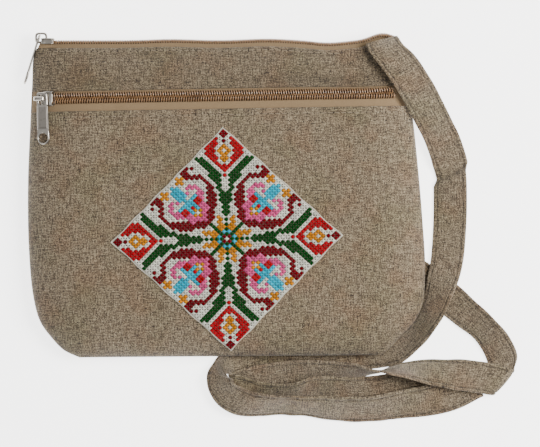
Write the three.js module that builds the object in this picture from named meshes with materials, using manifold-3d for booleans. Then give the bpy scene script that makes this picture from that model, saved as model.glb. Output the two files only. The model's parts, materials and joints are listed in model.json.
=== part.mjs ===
// A soft linen pouch with two zips, an embroidered patch and one long flat strap.
// It lies on its back: X runs along the zips, Y towards the top zip, Z up from the surface. Millimetres.

import * as THREE from 'three';
import { mergeVertices } from 'three/addons/utils/BufferGeometryUtils.js';
import Module from 'manifold-3d';

const wasm = await Module();
wasm.setup();

// Driving dimensions

const BOTTOM = -90;            // bottom edge of the pouch
const BOTTOM_RISE = 1.4;       // how much higher its right end lies
const TOP = 84.6;              // crest of the top zip
const CROWN = 21;              // height of the stuffed front
const SIDE_SEAM = 6;           // height of the side seams above the surface
const TOP_SEAM_LIFT = 3.4;     // the top zip rides higher than the side seams
const BOTTOM_SEAM_LIFT = 1.8;  // and so does the bottom edge
const FRONT_ROLL = { side: 34, bottom: 30, top: 46 };   // how far the front takes to reach its crown
const BACK_ROLL = { side: 20, bottom: 50, top: 20 };    // the same for the back, down to the surface
const GAP = 0.3;               // clearance between neighbouring pieces
const LINEN = 1.3;             // cloth and its backing
const TAPE = 1;                // woven zip tape
const PATCH = { x: 0.3, y: -24.6, side: 89.6, shortenY: 0.966, turn: 46.85, thick: 1.1, gap: 0.55 };

// The front zip crosses the pouch at a slight slope. Distances are from the middle of its chain.
const ZIP = { leftY: 52.2, rightY: 55.8, upperEdge: 4.6, lowerEdge: -8, tuck: 4.5 };
const CHAIN = { width: 5.8, height: 2.2 };
const TOP_ZIP = { panelEdge: 4.8, tapeEdge: 2.9, tuck: 4, tapeInset: 0.016 };

const SLIDER = { length: 7.5, width: 8.2, height: 3.4, nose: 0.9, mouth: 2.4 };
const BAIL = { left: -2.4, right: 4.4, top: 6.6, bottom: 0.6, wire: 1.1, width: 2.2, bend: 1.4 };
const PIVOT_HEIGHT = 4.5;      // the pull's axis above the slider's underside
const PULL = { width: 6.8, length: 28.4, thick: 1, ringHole: 2.6, rail: 0.6 };

const STRAP = { width: 18, thick: 1.6 };

// Side outlines from the bottom edge to the top zip: height y, edge x.
const LEFT_EDGE = [
  { y: -90, x: -81 }, { y: -86, x: -89.5 }, { y: -79, x: -96.5 }, { y: -70, x: -102.8 },
  { y: -56, x: -106.6 }, { y: -30, x: -109 }, { y: 5, x: -109.5 }, { y: 40, x: -108.1 },
  { y: 62, x: -107 }, { y: 74, x: -106.4 }, { y: 80, x: -104.5 }, { y: 84.6, x: -101.5 },
];
const RIGHT_EDGE = [
  { y: -90, x: 85 }, { y: -86, x: 90 }, { y: -80, x: 95.5 }, { y: -72, x: 103.2 },
  { y: -62, x: 107.9 }, { y: -42, x: 109.4 }, { y: -15, x: 107.9 }, { y: 10, x: 105.8 },
  { y: 40, x: 102.6 }, { y: 65, x: 99 }, { y: 84.6, x: 95 },
];

// Waves along the crest of the top zip, and dents pressed into the front.
const CREST_WAVES = [
  { x: 86, reach: 9, lift: 4 }, { x: 56, reach: 11, lift: -1.2 },
  { x: 22, reach: 16, lift: 0.9 }, { x: -30, reach: 16, lift: 0.7 },
];
const DENTS = [
  { x: 72, y: 66, reachX: 15, reachY: 9, depth: 4.2 },
  { x: -92, y: 64, reachX: 12, reachY: 7, depth: 1.6 },
  { x: 20, y: 68, reachX: 45, reachY: 7, depth: 1.5 },
  { x: -62, y: 18, reachX: 4, reachY: 30, depth: 0.8 },
  { x: 76, y: -62, reachX: 26, reachY: 10, depth: 1.2 },
];

// The strap, from the right top corner to the left one. x, y and z are its middle line, turn is the
// plan direction of the line across it, and lean is how far that line tips up, in degrees.
const STRAP_ROUTE = [
  { name: 'right sewn end', x: 87.2, y: 79.5, z: 19.4, turn: 16, lean: -9 },
  { name: 'over the corner', x: 92.8, y: 72.6, z: 20, turn: 27, lean: -9 },
  { name: 'over the front zip', x: 102, y: 59.2, z: 17.2, turn: 29, lean: -12 },
  { name: 'past the side seam', x: 110.8, y: 44.2, z: 11.6, turn: 28, lean: -12 },
  { name: 'down to the surface', x: 118.4, y: 29.5, z: 5.4, turn: 24, lean: -7 },
  { name: 'crease', x: 122.5, y: 14, z: 2.2, turn: 12, lean: 0 },
  { name: 'beside the pouch', x: 123.2, y: -4, z: 1.4, turn: 0, lean: 0 },
  { name: 'beside the pouch', x: 122.6, y: -24, z: 2, turn: -3, lean: 4 },
  { name: 'rising over itself', x: 121, y: -39, z: 4.6, turn: -8, lean: 12 },
  { name: 'crossing', x: 117.8, y: -51, z: 7.8, turn: -20, lean: 28 },
  { name: 'round the corner', x: 113, y: -64.5, z: 9.2, turn: -33, lean: 44 },
  { name: 'round the corner', x: 103.4, y: -78.5, z: 8.2, turn: -45, lean: 48 },
  { name: 'turning along the edge', x: 93, y: -85.8, z: 5.7, turn: -62, lean: 32 },
  { name: 'turning along the edge', x: 85, y: -87, z: 3.1, turn: -75, lean: 14 },
  { name: 'turning along the edge', x: 76, y: -87.8, z: 1.7, turn: -85, lean: 4 },
  { name: 'first run', x: 60, y: -88.6, z: 1.2, turn: -89, lean: 1 },
  { name: 'first run', x: 35, y: -89.2, z: 1.2, turn: -90, lean: 0 },
  { name: 'first run', x: 15, y: -89.8, z: 1.7, turn: -93, lean: 3 },
  { name: 'outer loop', x: 4.4, y: -91.2, z: 3.8, turn: -92, lean: 16 },
  { name: 'outer loop', x: -1.4, y: -93.2, z: 8.2, turn: -76, lean: 50 },
  { name: 'outer loop', x: -3.4, y: -96.6, z: 10.4, turn: -44, lean: 62 },
  { name: 'outer loop', x: -3.8, y: -101.2, z: 10.4, turn: -4, lean: 46 },
  { name: 'outer loop', x: -2.6, y: -106.4, z: 9.4, turn: 20, lean: 34 },
  { name: 'outer loop', x: 2.4, y: -111.6, z: 8.4, turn: 38, lean: 24 },
  { name: 'outer loop', x: 9.4, y: -115.2, z: 8.6, turn: 58, lean: 28 },
  { name: 'last run', x: 20, y: -116.2, z: 8.6, turn: 84, lean: 47 },
  { name: 'last run', x: 36, y: -116.2, z: 8.6, turn: 91, lean: 53 },
  { name: 'last run', x: 62, y: -118.4, z: 7, turn: 88, lean: 41 },
  { name: 'last run', x: 81, y: -118.2, z: 6.8, turn: 92, lean: 37 },
  { name: 'last run', x: 100, y: -115.4, z: 5.6, turn: 97, lean: 26 },
  { name: 'last run', x: 114, y: -113.2, z: 4.8, turn: 101, lean: 14 },
  { name: 'tucked fold', x: 126, y: -109.6, z: 4, turn: 112, lean: 6 },
  { name: 'tucked fold', x: 134.5, y: -105, z: 4.2, turn: 120, lean: 3 },
  { name: 'tucked fold', x: 136.8, y: -104, z: 2.7, turn: 121, lean: 1 },
  { name: 'tucked fold', x: 134.2, y: -104.6, z: 1.2, turn: 121, lean: 0 },
  { name: 'middle run', x: 124, y: -106.6, z: 1.1, turn: 106, lean: 0 },
  { name: 'middle run', x: 112, y: -106.2, z: 1.4, turn: 98, lean: 2 },
  { name: 'middle run', x: 94, y: -107.2, z: 2.6, turn: 94, lean: 8 },
  { name: 'middle run', x: 80, y: -108.8, z: 4, turn: 89, lean: 17 },
  { name: 'middle run', x: 66, y: -108.6, z: 5.6, turn: 86, lean: 28 },
  { name: 'middle run', x: 48, y: -107.4, z: 6.8, turn: 80, lean: 37 },
  { name: 'middle run', x: 33, y: -110.6, z: 7.8, turn: 80, lean: 44 },
  { name: 'middle run', x: 17, y: -110.6, z: 6.8, turn: 90, lean: 30 },
  { name: 'inner fold', x: 9.8, y: -108.4, z: 7.1, turn: 88, lean: 21 },
  { name: 'inner fold', x: 5.2, y: -107.2, z: 7.1, turn: 84, lean: 18 },
  { name: 'inner fold', x: 4.4, y: -106.6, z: 5.8, turn: 84, lean: 18 },
  { name: 'inner fold', x: 7, y: -105.6, z: 4.8, turn: 86, lean: 20 },
  { name: 'upper run', x: 21, y: -101.8, z: 5, turn: 96, lean: 24 },
  { name: 'upper run', x: 42, y: -99, z: 5.9, turn: 92, lean: 31 },
  { name: 'upper run', x: 57, y: -99.2, z: 6.6, turn: 88, lean: 38 },
  { name: 'half twist', x: 70, y: -97.8, z: 9, turn: 84, lean: 60 },
  { name: 'half twist', x: 83, y: -97.7, z: 10.2, turn: 84, lean: 86 },
  { name: 'half twist', x: 95, y: -96.8, z: 10.2, turn: 82, lean: 110 },
  { name: 'end run', x: 106, y: -97.2, z: 8.8, turn: 80, lean: 130 },
  { name: 'end run', x: 118, y: -98.4, z: 8, turn: 79, lean: 146 },
  { name: 'end run', x: 131, y: -99.8, z: 7.2, turn: 78, lean: 164 },
  { name: 'corner fold', x: 145.6, y: -102, z: 5.6, turn: 66, lean: 174 },
  { name: 'corner fold', x: 151.2, y: -103.6, z: 4.4, turn: 54, lean: 180 },
  { name: 'corner fold', x: 152.8, y: -104, z: 2.8, turn: 48, lean: 180 },
  { name: 'corner fold', x: 152.4, y: -102.2, z: 1.3, turn: 43, lean: 180 },
  { name: 'back under', x: 152.8, y: -93.6, z: 2.4, turn: 32, lean: 187 },
  { name: 'back under', x: 148.4, y: -82.6, z: 5, turn: 33, lean: 205 },
  { name: 'back under', x: 141.2, y: -73.6, z: 5.6, turn: 38, lean: 210 },
  { name: 'back under', x: 131, y: -65, z: 4, turn: 44, lean: 199 },
  { name: 'crossed by itself', x: 120, y: -55.6, z: 1.4, turn: 51, lean: 182 },
  { name: 'under the pouch', x: 104, y: -44, z: 1, turn: 57, lean: 180 },
  { name: 'under the pouch', x: 60, y: -18.5, z: 1, turn: 60, lean: 180 },
  { name: 'under the pouch', x: 0, y: 15, z: 1, turn: 61, lean: 180 },
  { name: 'under the pouch', x: -60, y: 46, z: 1, turn: 63, lean: 180 },
  { name: 'left sewn end', x: -99, y: 66, z: 1.2, turn: 63, lean: 180 },
];
const STRAP_STEPS = 2;         // steps made between two rows of the route

// Curves and the pouch's two surfaces

const mix = THREE.MathUtils.lerp;
const bump = (distance) => Math.exp(-distance * distance);
const radians = THREE.MathUtils.degToRad;

// Smooth height-to-edge curve through a table's rows.
function edgeCurve(rows) {
  const points = rows.map((row) => new THREE.Vector3(row.x, row.y, 0));
  const spline = new THREE.CatmullRomCurve3(points, false, 'centripetal');
  const dense = spline.getPoints(rows.length * 8);
  return (y) => {
    const after = dense.findIndex((point) => point.y >= y);
    if (after <= 0) return (after === 0 ? dense[0] : dense[dense.length - 1]).x;
    const low = dense[after - 1];
    const high = dense[after];
    return mix(low.x, high.x, (y - low.y) / (high.y - low.y));
  };
}
const leftEdge = edgeCurve(LEFT_EDGE);
const rightEdge = edgeCurve(RIGHT_EDGE);

// A quarter circle: 0 on the edge, 1 where the roll ends.
function roll(distance, reach) {
  const left = 1 - Math.min(Math.max(distance, 0) / reach, 1);
  return Math.sqrt(1 - left * left);
}

const bottomEdge = (u) => BOTTOM + BOTTOM_RISE * u;
function topEdge(u) {
  const x = mix(LEFT_EDGE.at(-1).x, RIGHT_EDGE.at(-1).x, u);
  return CREST_WAVES.reduce((y, wave) => y + wave.lift * bump((x - wave.x) / wave.reach), TOP);
}
const seamHeight = (v) => SIDE_SEAM + TOP_SEAM_LIFT * v ** 4 + BOTTOM_SEAM_LIFT * (1 - v) ** 6;

// Plan position of u, v (both 0 to 1 across the outline) and its distance from each edge.
function plan(u, v) {
  const level = mix(BOTTOM, TOP, v);
  const left = leftEdge(level);
  const right = rightEdge(level);
  const x = mix(left, right, u);
  const y = mix(bottomEdge(u), topEdge(u), v);
  return { x, y, left: x - left, right: right - x, bottom: y - bottomEdge(u), top: topEdge(u) - y };
}

function rise(at, reach) {
  const across = roll(at.left, reach.side) * roll(at.right, reach.side);
  return across * roll(at.bottom, reach.bottom) * roll(at.top, reach.top);
}

// Shallow dents of the front, and the lift of the back where the strap passes under it.
function dentDepth(x, y) {
  return DENTS.reduce((sum, dent) => {
    const away = Math.hypot((x - dent.x) / dent.reachX, (y - dent.y) / dent.reachY);
    return sum + dent.depth * bump(away);
  }, 0);
}
const UNDER = STRAP_ROUTE.filter((row) => row.name === 'under the pouch');
const CHANNEL = { lift: 2.4, flat: 17, ramp: 12 };
function channelLift(x, y) {
  const first = UNDER[0];
  const last = UNDER.at(-1);
  const along = new THREE.Vector2(last.x - first.x, last.y - first.y).normalize();
  const off = Math.abs((x - first.x) * along.y - (y - first.y) * along.x);
  return CHANNEL.lift * (1 - THREE.MathUtils.smoothstep(off, CHANNEL.flat, CHANNEL.flat + CHANNEL.ramp));
}

function frontPoint(u, v) {
  const at = plan(u, v);
  const lift = rise(at, FRONT_ROLL);
  const seam = seamHeight(v) + GAP / 2;
  return new THREE.Vector3(at.x, at.y, seam + (CROWN - seam - dentDepth(at.x, at.y)) * lift);
}
function backPoint(u, v) {
  const at = plan(u, v);
  const seam = seamHeight(v) - GAP / 2;
  const drop = seam * (1 - rise(at, BACK_ROLL));
  const channel = channelLift(at.x, at.y);
  return new THREE.Vector3(at.x, at.y, Math.min(seam, Math.hypot(drop, channel)));
}

// A point of a surface moved along its outward normal, kept on its own side of the seam.
const NORMAL_STEP = 0.004;
const NORMAL_MARGIN = 0.006;
function offsetPoint(surface, outward, u, v, offset) {
  const nearU = THREE.MathUtils.clamp(u, NORMAL_MARGIN, 1 - NORMAL_MARGIN);
  const nearV = THREE.MathUtils.clamp(v, NORMAL_MARGIN, 1 - NORMAL_MARGIN);
  const along = surface(nearU + NORMAL_STEP, nearV).sub(surface(nearU - NORMAL_STEP, nearV));
  const up = surface(nearU, nearV + NORMAL_STEP).sub(surface(nearU, nearV - NORMAL_STEP));
  const normal = along.cross(up).normalize().multiplyScalar(outward);
  const point = surface(u, v).addScaledVector(normal, offset);
  const seam = seamHeight(v);
  point.z = outward > 0 ? Math.max(point.z, seam + GAP / 2) : Math.min(point.z, seam - GAP / 2);
  return point;
}
const onFront = (u, v, offset) => offsetPoint(frontPoint, 1, u, v, offset);
const onBack = (u, v, offset) => offsetPoint(backPoint, -1, u, v, offset);

// The u, v of a plan position, found in a few rounds.
function surfacePlace(x, y) {
  let u = 0.5;
  let v = 0.5;
  for (let round = 0; round < 6; round += 1) {
    const level = mix(BOTTOM, TOP, v);
    u = (x - leftEdge(level)) / (rightEdge(level) - leftEdge(level));
    v = (y - bottomEdge(u)) / (topEdge(u) - bottomEdge(u));
  }
  return { u, v };
}
const heightToV = (u, y) => (y - bottomEdge(u)) / (topEdge(u) - bottomEdge(u));

// Mesh builders

function closedGeometry(positions, triangles) {
  const geometry = new THREE.BufferGeometry();
  const flat = positions.flatMap((p) => p.toArray());
  geometry.setAttribute('position', new THREE.Float32BufferAttribute(flat, 3));
  geometry.setIndex(triangles);
  let volume = 0;
  for (let k = 0; k < triangles.length; k += 3) {
    const [a, b, c] = [0, 1, 2].map((side) => positions[triangles[k + side]]);
    volume += a.dot(b.clone().cross(c));
  }
  if (volume < 0) geometry.setIndex(triangles.map((_, k) => triangles[k - (k % 3) + 2 - (k % 3)]));
  geometry.computeVertexNormals();
  return geometry;
}

// A wall between two grids of the same size: place(a, b, side) with side 1 outside and 0 inside.
function wall(alongList, acrossList, place) {
  const columns = alongList.length;
  const rows = acrossList.length;
  const positions = [];
  for (const side of [1, 0]) {
    for (const b of acrossList) for (const a of alongList) positions.push(place(a, b, side));
  }
  const at = (i, j, side) => (side ? 0 : columns * rows) + j * columns + i;
  const triangles = [];
  const quad = (a, b, c, d) => triangles.push(a, b, c, a, c, d);
  for (let j = 0; j < rows - 1; j += 1) {
    for (let i = 0; i < columns - 1; i += 1) {
      quad(at(i, j, 1), at(i + 1, j, 1), at(i + 1, j + 1, 1), at(i, j + 1, 1));
      quad(at(i, j, 0), at(i, j + 1, 0), at(i + 1, j + 1, 0), at(i + 1, j, 0));
    }
  }
  for (let i = 0; i < columns - 1; i += 1) {
    quad(at(i, 0, 0), at(i + 1, 0, 0), at(i + 1, 0, 1), at(i, 0, 1));
    quad(at(i, rows - 1, 1), at(i + 1, rows - 1, 1), at(i + 1, rows - 1, 0), at(i, rows - 1, 0));
  }
  const last = columns - 1;
  for (let j = 0; j < rows - 1; j += 1) {
    quad(at(0, j, 1), at(0, j + 1, 1), at(0, j + 1, 0), at(0, j, 0));
    quad(at(last, j, 0), at(last, j + 1, 0), at(last, j + 1, 1), at(last, j, 1));
  }
  return closedGeometry(positions, triangles);
}

// A closed section carried along frames: each frame turns section point (a, b) into a position.
function sweep(frames, section) {
  const positions = frames.flatMap((frame) => section.map(([a, b]) => frame(a, b)));
  const sides = section.length;
  const triangles = [];
  for (let i = 0; i < frames.length - 1; i += 1) {
    for (let k = 0; k < sides; k += 1) {
      const next = (k + 1) % sides;
      const near = i * sides;
      const far = near + sides;
      triangles.push(near + k, near + next, far + next, near + k, far + next, far + k);
    }
  }
  const end = (frames.length - 1) * sides;
  for (let k = 1; k < sides - 1; k += 1) {
    triangles.push(0, k + 1, k, end, end + k, end + k + 1);
  }
  return closedGeometry(positions, triangles);
}

function toSolid(geometry) {
  const bare = geometry.clone();
  bare.deleteAttribute('normal');
  bare.deleteAttribute('uv');
  const merged = mergeVertices(bare, 1e-4);
  const vertProperties = new Float32Array(merged.attributes.position.array);
  const triVerts = new Uint32Array(merged.index.array);
  return new wasm.Manifold(new wasm.Mesh({ numProp: 3, vertProperties, triVerts }));
}
function toGeometry(solid) {
  const mesh = solid.getMesh();
  const geometry = new THREE.BufferGeometry();
  geometry.setAttribute('position', new THREE.BufferAttribute(mesh.vertProperties, 3));
  geometry.setIndex(new THREE.BufferAttribute(mesh.triVerts, 1));
  geometry.computeVertexNormals();
  return geometry;
}

const steps = (count) => Array.from({ length: count + 1 }, (_, k) => k / count);
// Steps that crowd towards both ends, or towards the start.
const CROWDING = 0.82 / (2 * Math.PI);
const crowdedEnds = (count) => steps(count).map((t) => t - CROWDING * Math.sin(2 * Math.PI * t));
const crowdedStart = (count) => steps(count).map((t) => t ** 1.7);

function material(colour, roughness, metalness = 0) {
  return new THREE.MeshStandardMaterial({ color: colour, roughness, metalness });
}

const pouch = new THREE.Group();
function add(name, geometry, finish, parent = pouch) {
  const mesh = new THREE.Mesh(geometry, finish);
  mesh.name = name;
  parent.add(mesh);
  return mesh;
}

// Linen panels

const COLUMNS = crowdedEnds(30);
const zipMiddle = (u) => mix(ZIP.leftY, ZIP.rightY, u);

// A strip of the front between two heights that may change along the pouch.
function frontStrip(columns, rows, low, high, outer, inner) {
  return wall(columns, rows, (u, t, side) => onFront(u, mix(low(u), high(u), t), side ? outer : inner));
}
const zipV = (distance) => (u) => heightToV(u, zipMiddle(u) + distance);
const crestV = (distance) => (u) => heightToV(u, topEdge(u) - distance);

const panelTop = crestV(TOP_ZIP.panelEdge);
const backPlace = (u, t, side) => onBack(u, t * panelTop(u), side ? 0 : -LINEN);

add('front_panel_lower',
  frontStrip(COLUMNS, crowdedStart(19), () => 0, zipV(ZIP.lowerEdge), 0, -LINEN),
  material('#8c7f70', 0.9));
add('front_panel_upper',
  frontStrip(COLUMNS, steps(5), zipV(ZIP.upperEdge), panelTop, 0, -LINEN),
  material('#8a7d6d', 0.9));
add('back_panel', wall(crowdedEnds(24), crowdedEnds(18), backPlace), material('#84776a', 0.92));

// Zip tapes and chains

const UNDER_LINEN = -(LINEN + GAP);
const TAPE_COLUMNS = steps(24).map((t) => mix(TOP_ZIP.tapeInset, 1 - TOP_ZIP.tapeInset, t));
const HALF_SPLIT = 0.2;

function tape(name, low, high) {
  const strip = frontStrip(TAPE_COLUMNS, steps(2), low, high, UNDER_LINEN, UNDER_LINEN - TAPE);
  add(name, strip, material('#a58d6b', 0.85));
}
tape('front_zip_tape_lower', zipV(ZIP.lowerEdge - ZIP.tuck), zipV(-HALF_SPLIT));
tape('front_zip_tape_upper', zipV(HALF_SPLIT), zipV(ZIP.upperEdge + ZIP.tuck));
tape('top_zip_tape_front', crestV(TOP_ZIP.panelEdge + TOP_ZIP.tuck), crestV(TOP_ZIP.tapeEdge));
add('top_zip_tape_back',
  wall(TAPE_COLUMNS, steps(2), (u, t, side) => onBack(
    u, mix(crestV(TOP_ZIP.panelEdge + TOP_ZIP.tuck)(u), crestV(TOP_ZIP.tapeEdge)(u), t),
    side ? UNDER_LINEN : UNDER_LINEN - TAPE)),
  material('#a58d6b', 0.85));

// Half width a and height b of the chain's section, as shares: two coils with a groove between them.
const CHAIN_SECTION = [
  [-1, 0], [1, 0], [1, 0.5], [0.6, 1], [0.15, 0.85], [-0.15, 0.85], [-0.6, 1], [-1, 0.5],
];
const FRONT_CHAIN = { from: 0.0545, to: 0.955, steps: 30 };
const TOP_CHAIN = { from: 0.0245, to: 0.985, steps: 32 };

const frontChainFrames = steps(FRONT_CHAIN.steps).map((t) => {
  const u = mix(FRONT_CHAIN.from, FRONT_CHAIN.to, t);
  return (a, b) => onFront(u, zipV(a * CHAIN.width / 2)(u), UNDER_LINEN + GAP + b * CHAIN.height);
});
add('front_zip_chain', sweep(frontChainFrames, CHAIN_SECTION), material('#8a5f33', 0.5));

const topChainFrames = steps(TOP_CHAIN.steps).map((t) => {
  const u = mix(TOP_CHAIN.from, TOP_CHAIN.to, t);
  const crest = plan(u, 1);
  return (a, b) => new THREE.Vector3(
    crest.x, crest.y - CHAIN.height * (1 - b), seamHeight(1) + a * CHAIN.width / 2);
});
add('top_zip_chain', sweep(topChainFrames, CHAIN_SECTION), material('#8a5f33', 0.5));

// Sliders and pulls. In a slider's own frame x runs along its zip, z points away from the cloth,
// and the pull's axis crosses the bail at x = 0.

const NICKEL = ['#9a958c', 0.35, 0.9];

function slab(shape, depth) {
  return new THREE.ExtrudeGeometry(shape, { depth, bevelEnabled: false, curveSegments: 4 });
}

function roundedBox(shape, left, low, right, high, radius) {
  shape.moveTo(left + radius, low);
  shape.lineTo(right - radius, low);
  shape.absarc(right - radius, low + radius, radius, -Math.PI / 2, 0);
  shape.lineTo(right, high - radius);
  shape.absarc(right - radius, high - radius, radius, 0, Math.PI / 2);
  shape.lineTo(left + radius, high);
  shape.absarc(left + radius, high - radius, radius, Math.PI / 2, Math.PI);
  shape.lineTo(left, low + radius);
  shape.absarc(left + radius, low + radius, radius, Math.PI, 1.5 * Math.PI);
  return shape;
}

function sliderGeometry() {
  const half = SLIDER.width / 2;
  const tail = SLIDER.nose + SLIDER.length;
  const outline = roundedBox(new THREE.Shape(), SLIDER.nose, -half, tail, half, 1.8);
  const body = toSolid(slab(outline, SLIDER.height));

  const mouth = new THREE.BoxGeometry(SLIDER.mouth + 1, CHAIN.width + 2 * GAP, CHAIN.height + 1 + GAP);
  mouth.translate(tail + (1 - SLIDER.mouth) / 2, 0, (CHAIN.height + GAP - 1) / 2);

  const loop = roundedBox(new THREE.Shape(), BAIL.left, BAIL.bottom, BAIL.right, BAIL.top, BAIL.bend);
  const inside = BAIL.wire;
  loop.holes.push(roundedBox(new THREE.Path(), BAIL.left + inside, BAIL.bottom + inside,
    BAIL.right - inside, BAIL.top - inside, BAIL.bend - inside + 0.2));
  const bail = slab(loop, BAIL.width);
  bail.rotateX(Math.PI / 2);
  bail.translate(0, BAIL.width / 2, 0);
  return toGeometry(body.add(toSolid(bail)).subtract(toSolid(mouth)));
}

// The pull lies in its own x, y plane with its axis at the origin, its ring end towards -y.
function pullGeometry(middle, topEnd, eye) {
  const half = PULL.width / 2;
  const ringY = topEnd - PULL.length + half;
  const shape = new THREE.Shape();
  shape.moveTo(middle - half, ringY);
  shape.absarc(middle, ringY, half, Math.PI, 2 * Math.PI);
  shape.lineTo(middle + half, topEnd - 1);
  shape.absarc(middle + half - 1, topEnd - 1, 1, 0, Math.PI / 2);
  shape.lineTo(middle - half + 1, topEnd);
  shape.absarc(middle - half + 1, topEnd - 1, 1, Math.PI / 2, Math.PI);
  const ring = new THREE.Path();
  ring.absarc(middle, ringY, PULL.ringHole, 0, 2 * Math.PI);
  shape.holes.push(ring, roundedBox(new THREE.Path(), eye.left, eye.low, eye.right, eye.high, 0.6));
  const plate = new THREE.ExtrudeGeometry(
    shape, { depth: PULL.thick, bevelEnabled: false, curveSegments: 7 });
  plate.translate(0, 0, -PULL.thick / 2);
  return plate;
}

// A slider's group stands on the cloth at a place with its own axes.
function sliderGroup(origin, along, outward) {
  const group = new THREE.Group();
  const across = outward.clone().cross(along);
  group.quaternion.setFromRotationMatrix(new THREE.Matrix4().makeBasis(along, across, outward));
  group.position.copy(origin);
  pouch.add(group);
  return group;
}

// Front slider: it sits on the tapes at the left end, and its pull lies down the panel.
const FRONT_SLIDER = { u: 0.0105, seat: UNDER_LINEN + GAP, dip: 2.8 };
{
  const low = onFront(FRONT_SLIDER.u, zipV(0)(FRONT_SLIDER.u), FRONT_SLIDER.seat);
  const tailU = FRONT_CHAIN.from;
  const high = onFront(tailU, zipV(0)(tailU), FRONT_SLIDER.seat);
  const along = high.clone().sub(low).normalize();
  const outward = along.clone().cross(new THREE.Vector3(0, 1, 0)).normalize();
  const tail = SLIDER.nose + SLIDER.length - SLIDER.mouth + GAP;
  const group = sliderGroup(high.clone().addScaledVector(along, -tail), along, outward);
  add('front_zip_slider', sliderGeometry(), material(...NICKEL), group);
  const eye = { left: PULL.rail, right: 4.9, low: -3.4, high: 2.2 };
  const plate = pullGeometry(PULL.width / 2 - PULL.rail, 3.4, eye);
  const pull = add('front_zip_puller', plate, material(...NICKEL), group);
  pull.position.set(0, 0, PIVOT_HEIGHT);
  pull.rotation.x = radians(FRONT_SLIDER.dip);
}

// Top slider: it rides on the crest, and its pull hangs over the left corner.
const TOP_SLIDER = { seat: CHAIN.height - 0.2, planAngle: 252, dip: 12 };
{
  const end = plan(TOP_CHAIN.from, 1);
  const tail = SLIDER.nose + SLIDER.length - SLIDER.mouth + GAP;
  const origin = new THREE.Vector3(end.x - tail, end.y - TOP_SLIDER.seat - GAP, seamHeight(1));
  const group = sliderGroup(origin, new THREE.Vector3(1, 0, 0), new THREE.Vector3(0, 1, 0));
  add('top_zip_slider', sliderGeometry(), material(...NICKEL), group);
  const eye = { left: -1.9, right: 1.9, low: -5.2, high: -PULL.rail };
  const hanger = new THREE.Group();
  hanger.position.set(0, 0, PIVOT_HEIGHT);
  group.add(hanger);
  const down = new THREE.Vector3(
    Math.cos(radians(TOP_SLIDER.planAngle)) * Math.cos(radians(TOP_SLIDER.dip)),
    Math.sin(radians(TOP_SLIDER.dip)),
    Math.sin(radians(TOP_SLIDER.planAngle)) * Math.cos(radians(TOP_SLIDER.dip)));
  const axis = new THREE.Vector3(0, -1, 0).addScaledVector(down, down.y).normalize();
  const up = down.clone().negate();
  hanger.quaternion.setFromRotationMatrix(
    new THREE.Matrix4().makeBasis(axis, up, axis.clone().cross(up)));
  add('top_zip_puller', pullGeometry(0, PULL.rail, eye), material(...NICKEL), hanger);
}

// Embroidered patch: a square set as a diamond that follows the front panel.

const PATCH_CELLS = steps(12);
function patchPlace(a, b, side) {
  const turn = radians(PATCH.turn);
  const [along, across] = [(a - 0.5) * PATCH.side, (b - 0.5) * PATCH.side];
  const x = PATCH.x + along * Math.cos(turn) - across * Math.sin(turn);
  const y = PATCH.y + PATCH.shortenY * (along * Math.sin(turn) + across * Math.cos(turn));
  const { u, v } = surfacePlace(x, y);
  return onFront(u, v, side ? PATCH.gap + PATCH.thick : PATCH.gap);
}
add('embroidered_patch', wall(PATCH_CELLS, PATCH_CELLS, patchPlace), material('#cfc9ba', 0.85));

// Strap: a flat band carried along its route.

function strapFrames() {
  const middle = new THREE.CatmullRomCurve3(
    STRAP_ROUTE.map((row) => new THREE.Vector3(row.x, row.y, row.z)), false, 'centripetal');
  const angles = new THREE.CatmullRomCurve3(
    STRAP_ROUTE.map((row) => new THREE.Vector3(row.turn, row.lean, 0)), false, 'catmullrom', 0.3);
  const count = (STRAP_ROUTE.length - 1) * STRAP_STEPS;
  return steps(count).map((t) => {
    const centre = middle.getPoint(t);
    const angle = angles.getPoint(t);
    const across = new THREE.Vector3(
      Math.cos(radians(angle.y)) * Math.cos(radians(angle.x)),
      Math.cos(radians(angle.y)) * Math.sin(radians(angle.x)),
      Math.sin(radians(angle.y)));
    const face = middle.getTangent(t).cross(across).normalize();
    return (a, b) => centre.clone().addScaledVector(across, a * STRAP.width / 2)
      .addScaledVector(face, b * STRAP.thick / 2);
  });
}
const STRAP_SECTION = [
  [-1, -0.5], [-0.9, -1], [0.9, -1], [1, -0.5], [1, 0.5], [0.9, 1], [-0.9, 1], [-1, 0.5],
];
add('strap', sweep(strapFrames(), STRAP_SECTION), material('#877a6a', 0.92));

export default pouch;
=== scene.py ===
# %% [markdown]
# # A linen pouch with a cross-stitched patch
# The pouch lies on its back on a pale table, with its strap dropped in loops beside it. The solids
# of the pouch are loaded first and stay where they are. Every visible piece is then worked out with
# numpy as a surface in that same place, and gets a finish made of shader nodes.

# %% Load the frame
import json

import bpy
import numpy as np
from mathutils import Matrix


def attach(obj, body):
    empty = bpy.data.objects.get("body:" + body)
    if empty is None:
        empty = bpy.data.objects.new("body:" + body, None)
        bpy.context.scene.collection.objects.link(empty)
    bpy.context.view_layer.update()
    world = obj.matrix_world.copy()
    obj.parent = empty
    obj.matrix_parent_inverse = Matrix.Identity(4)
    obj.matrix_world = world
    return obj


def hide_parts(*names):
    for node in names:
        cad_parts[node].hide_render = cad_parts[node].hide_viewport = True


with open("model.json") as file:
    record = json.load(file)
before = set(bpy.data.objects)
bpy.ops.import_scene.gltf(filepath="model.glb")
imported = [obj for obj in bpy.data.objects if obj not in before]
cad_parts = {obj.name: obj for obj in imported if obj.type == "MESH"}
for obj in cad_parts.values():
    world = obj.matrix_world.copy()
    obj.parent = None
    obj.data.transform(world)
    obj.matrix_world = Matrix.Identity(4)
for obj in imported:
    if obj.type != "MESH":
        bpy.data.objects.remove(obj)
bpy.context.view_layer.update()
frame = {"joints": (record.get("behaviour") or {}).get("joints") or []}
MM = 0.001

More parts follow.
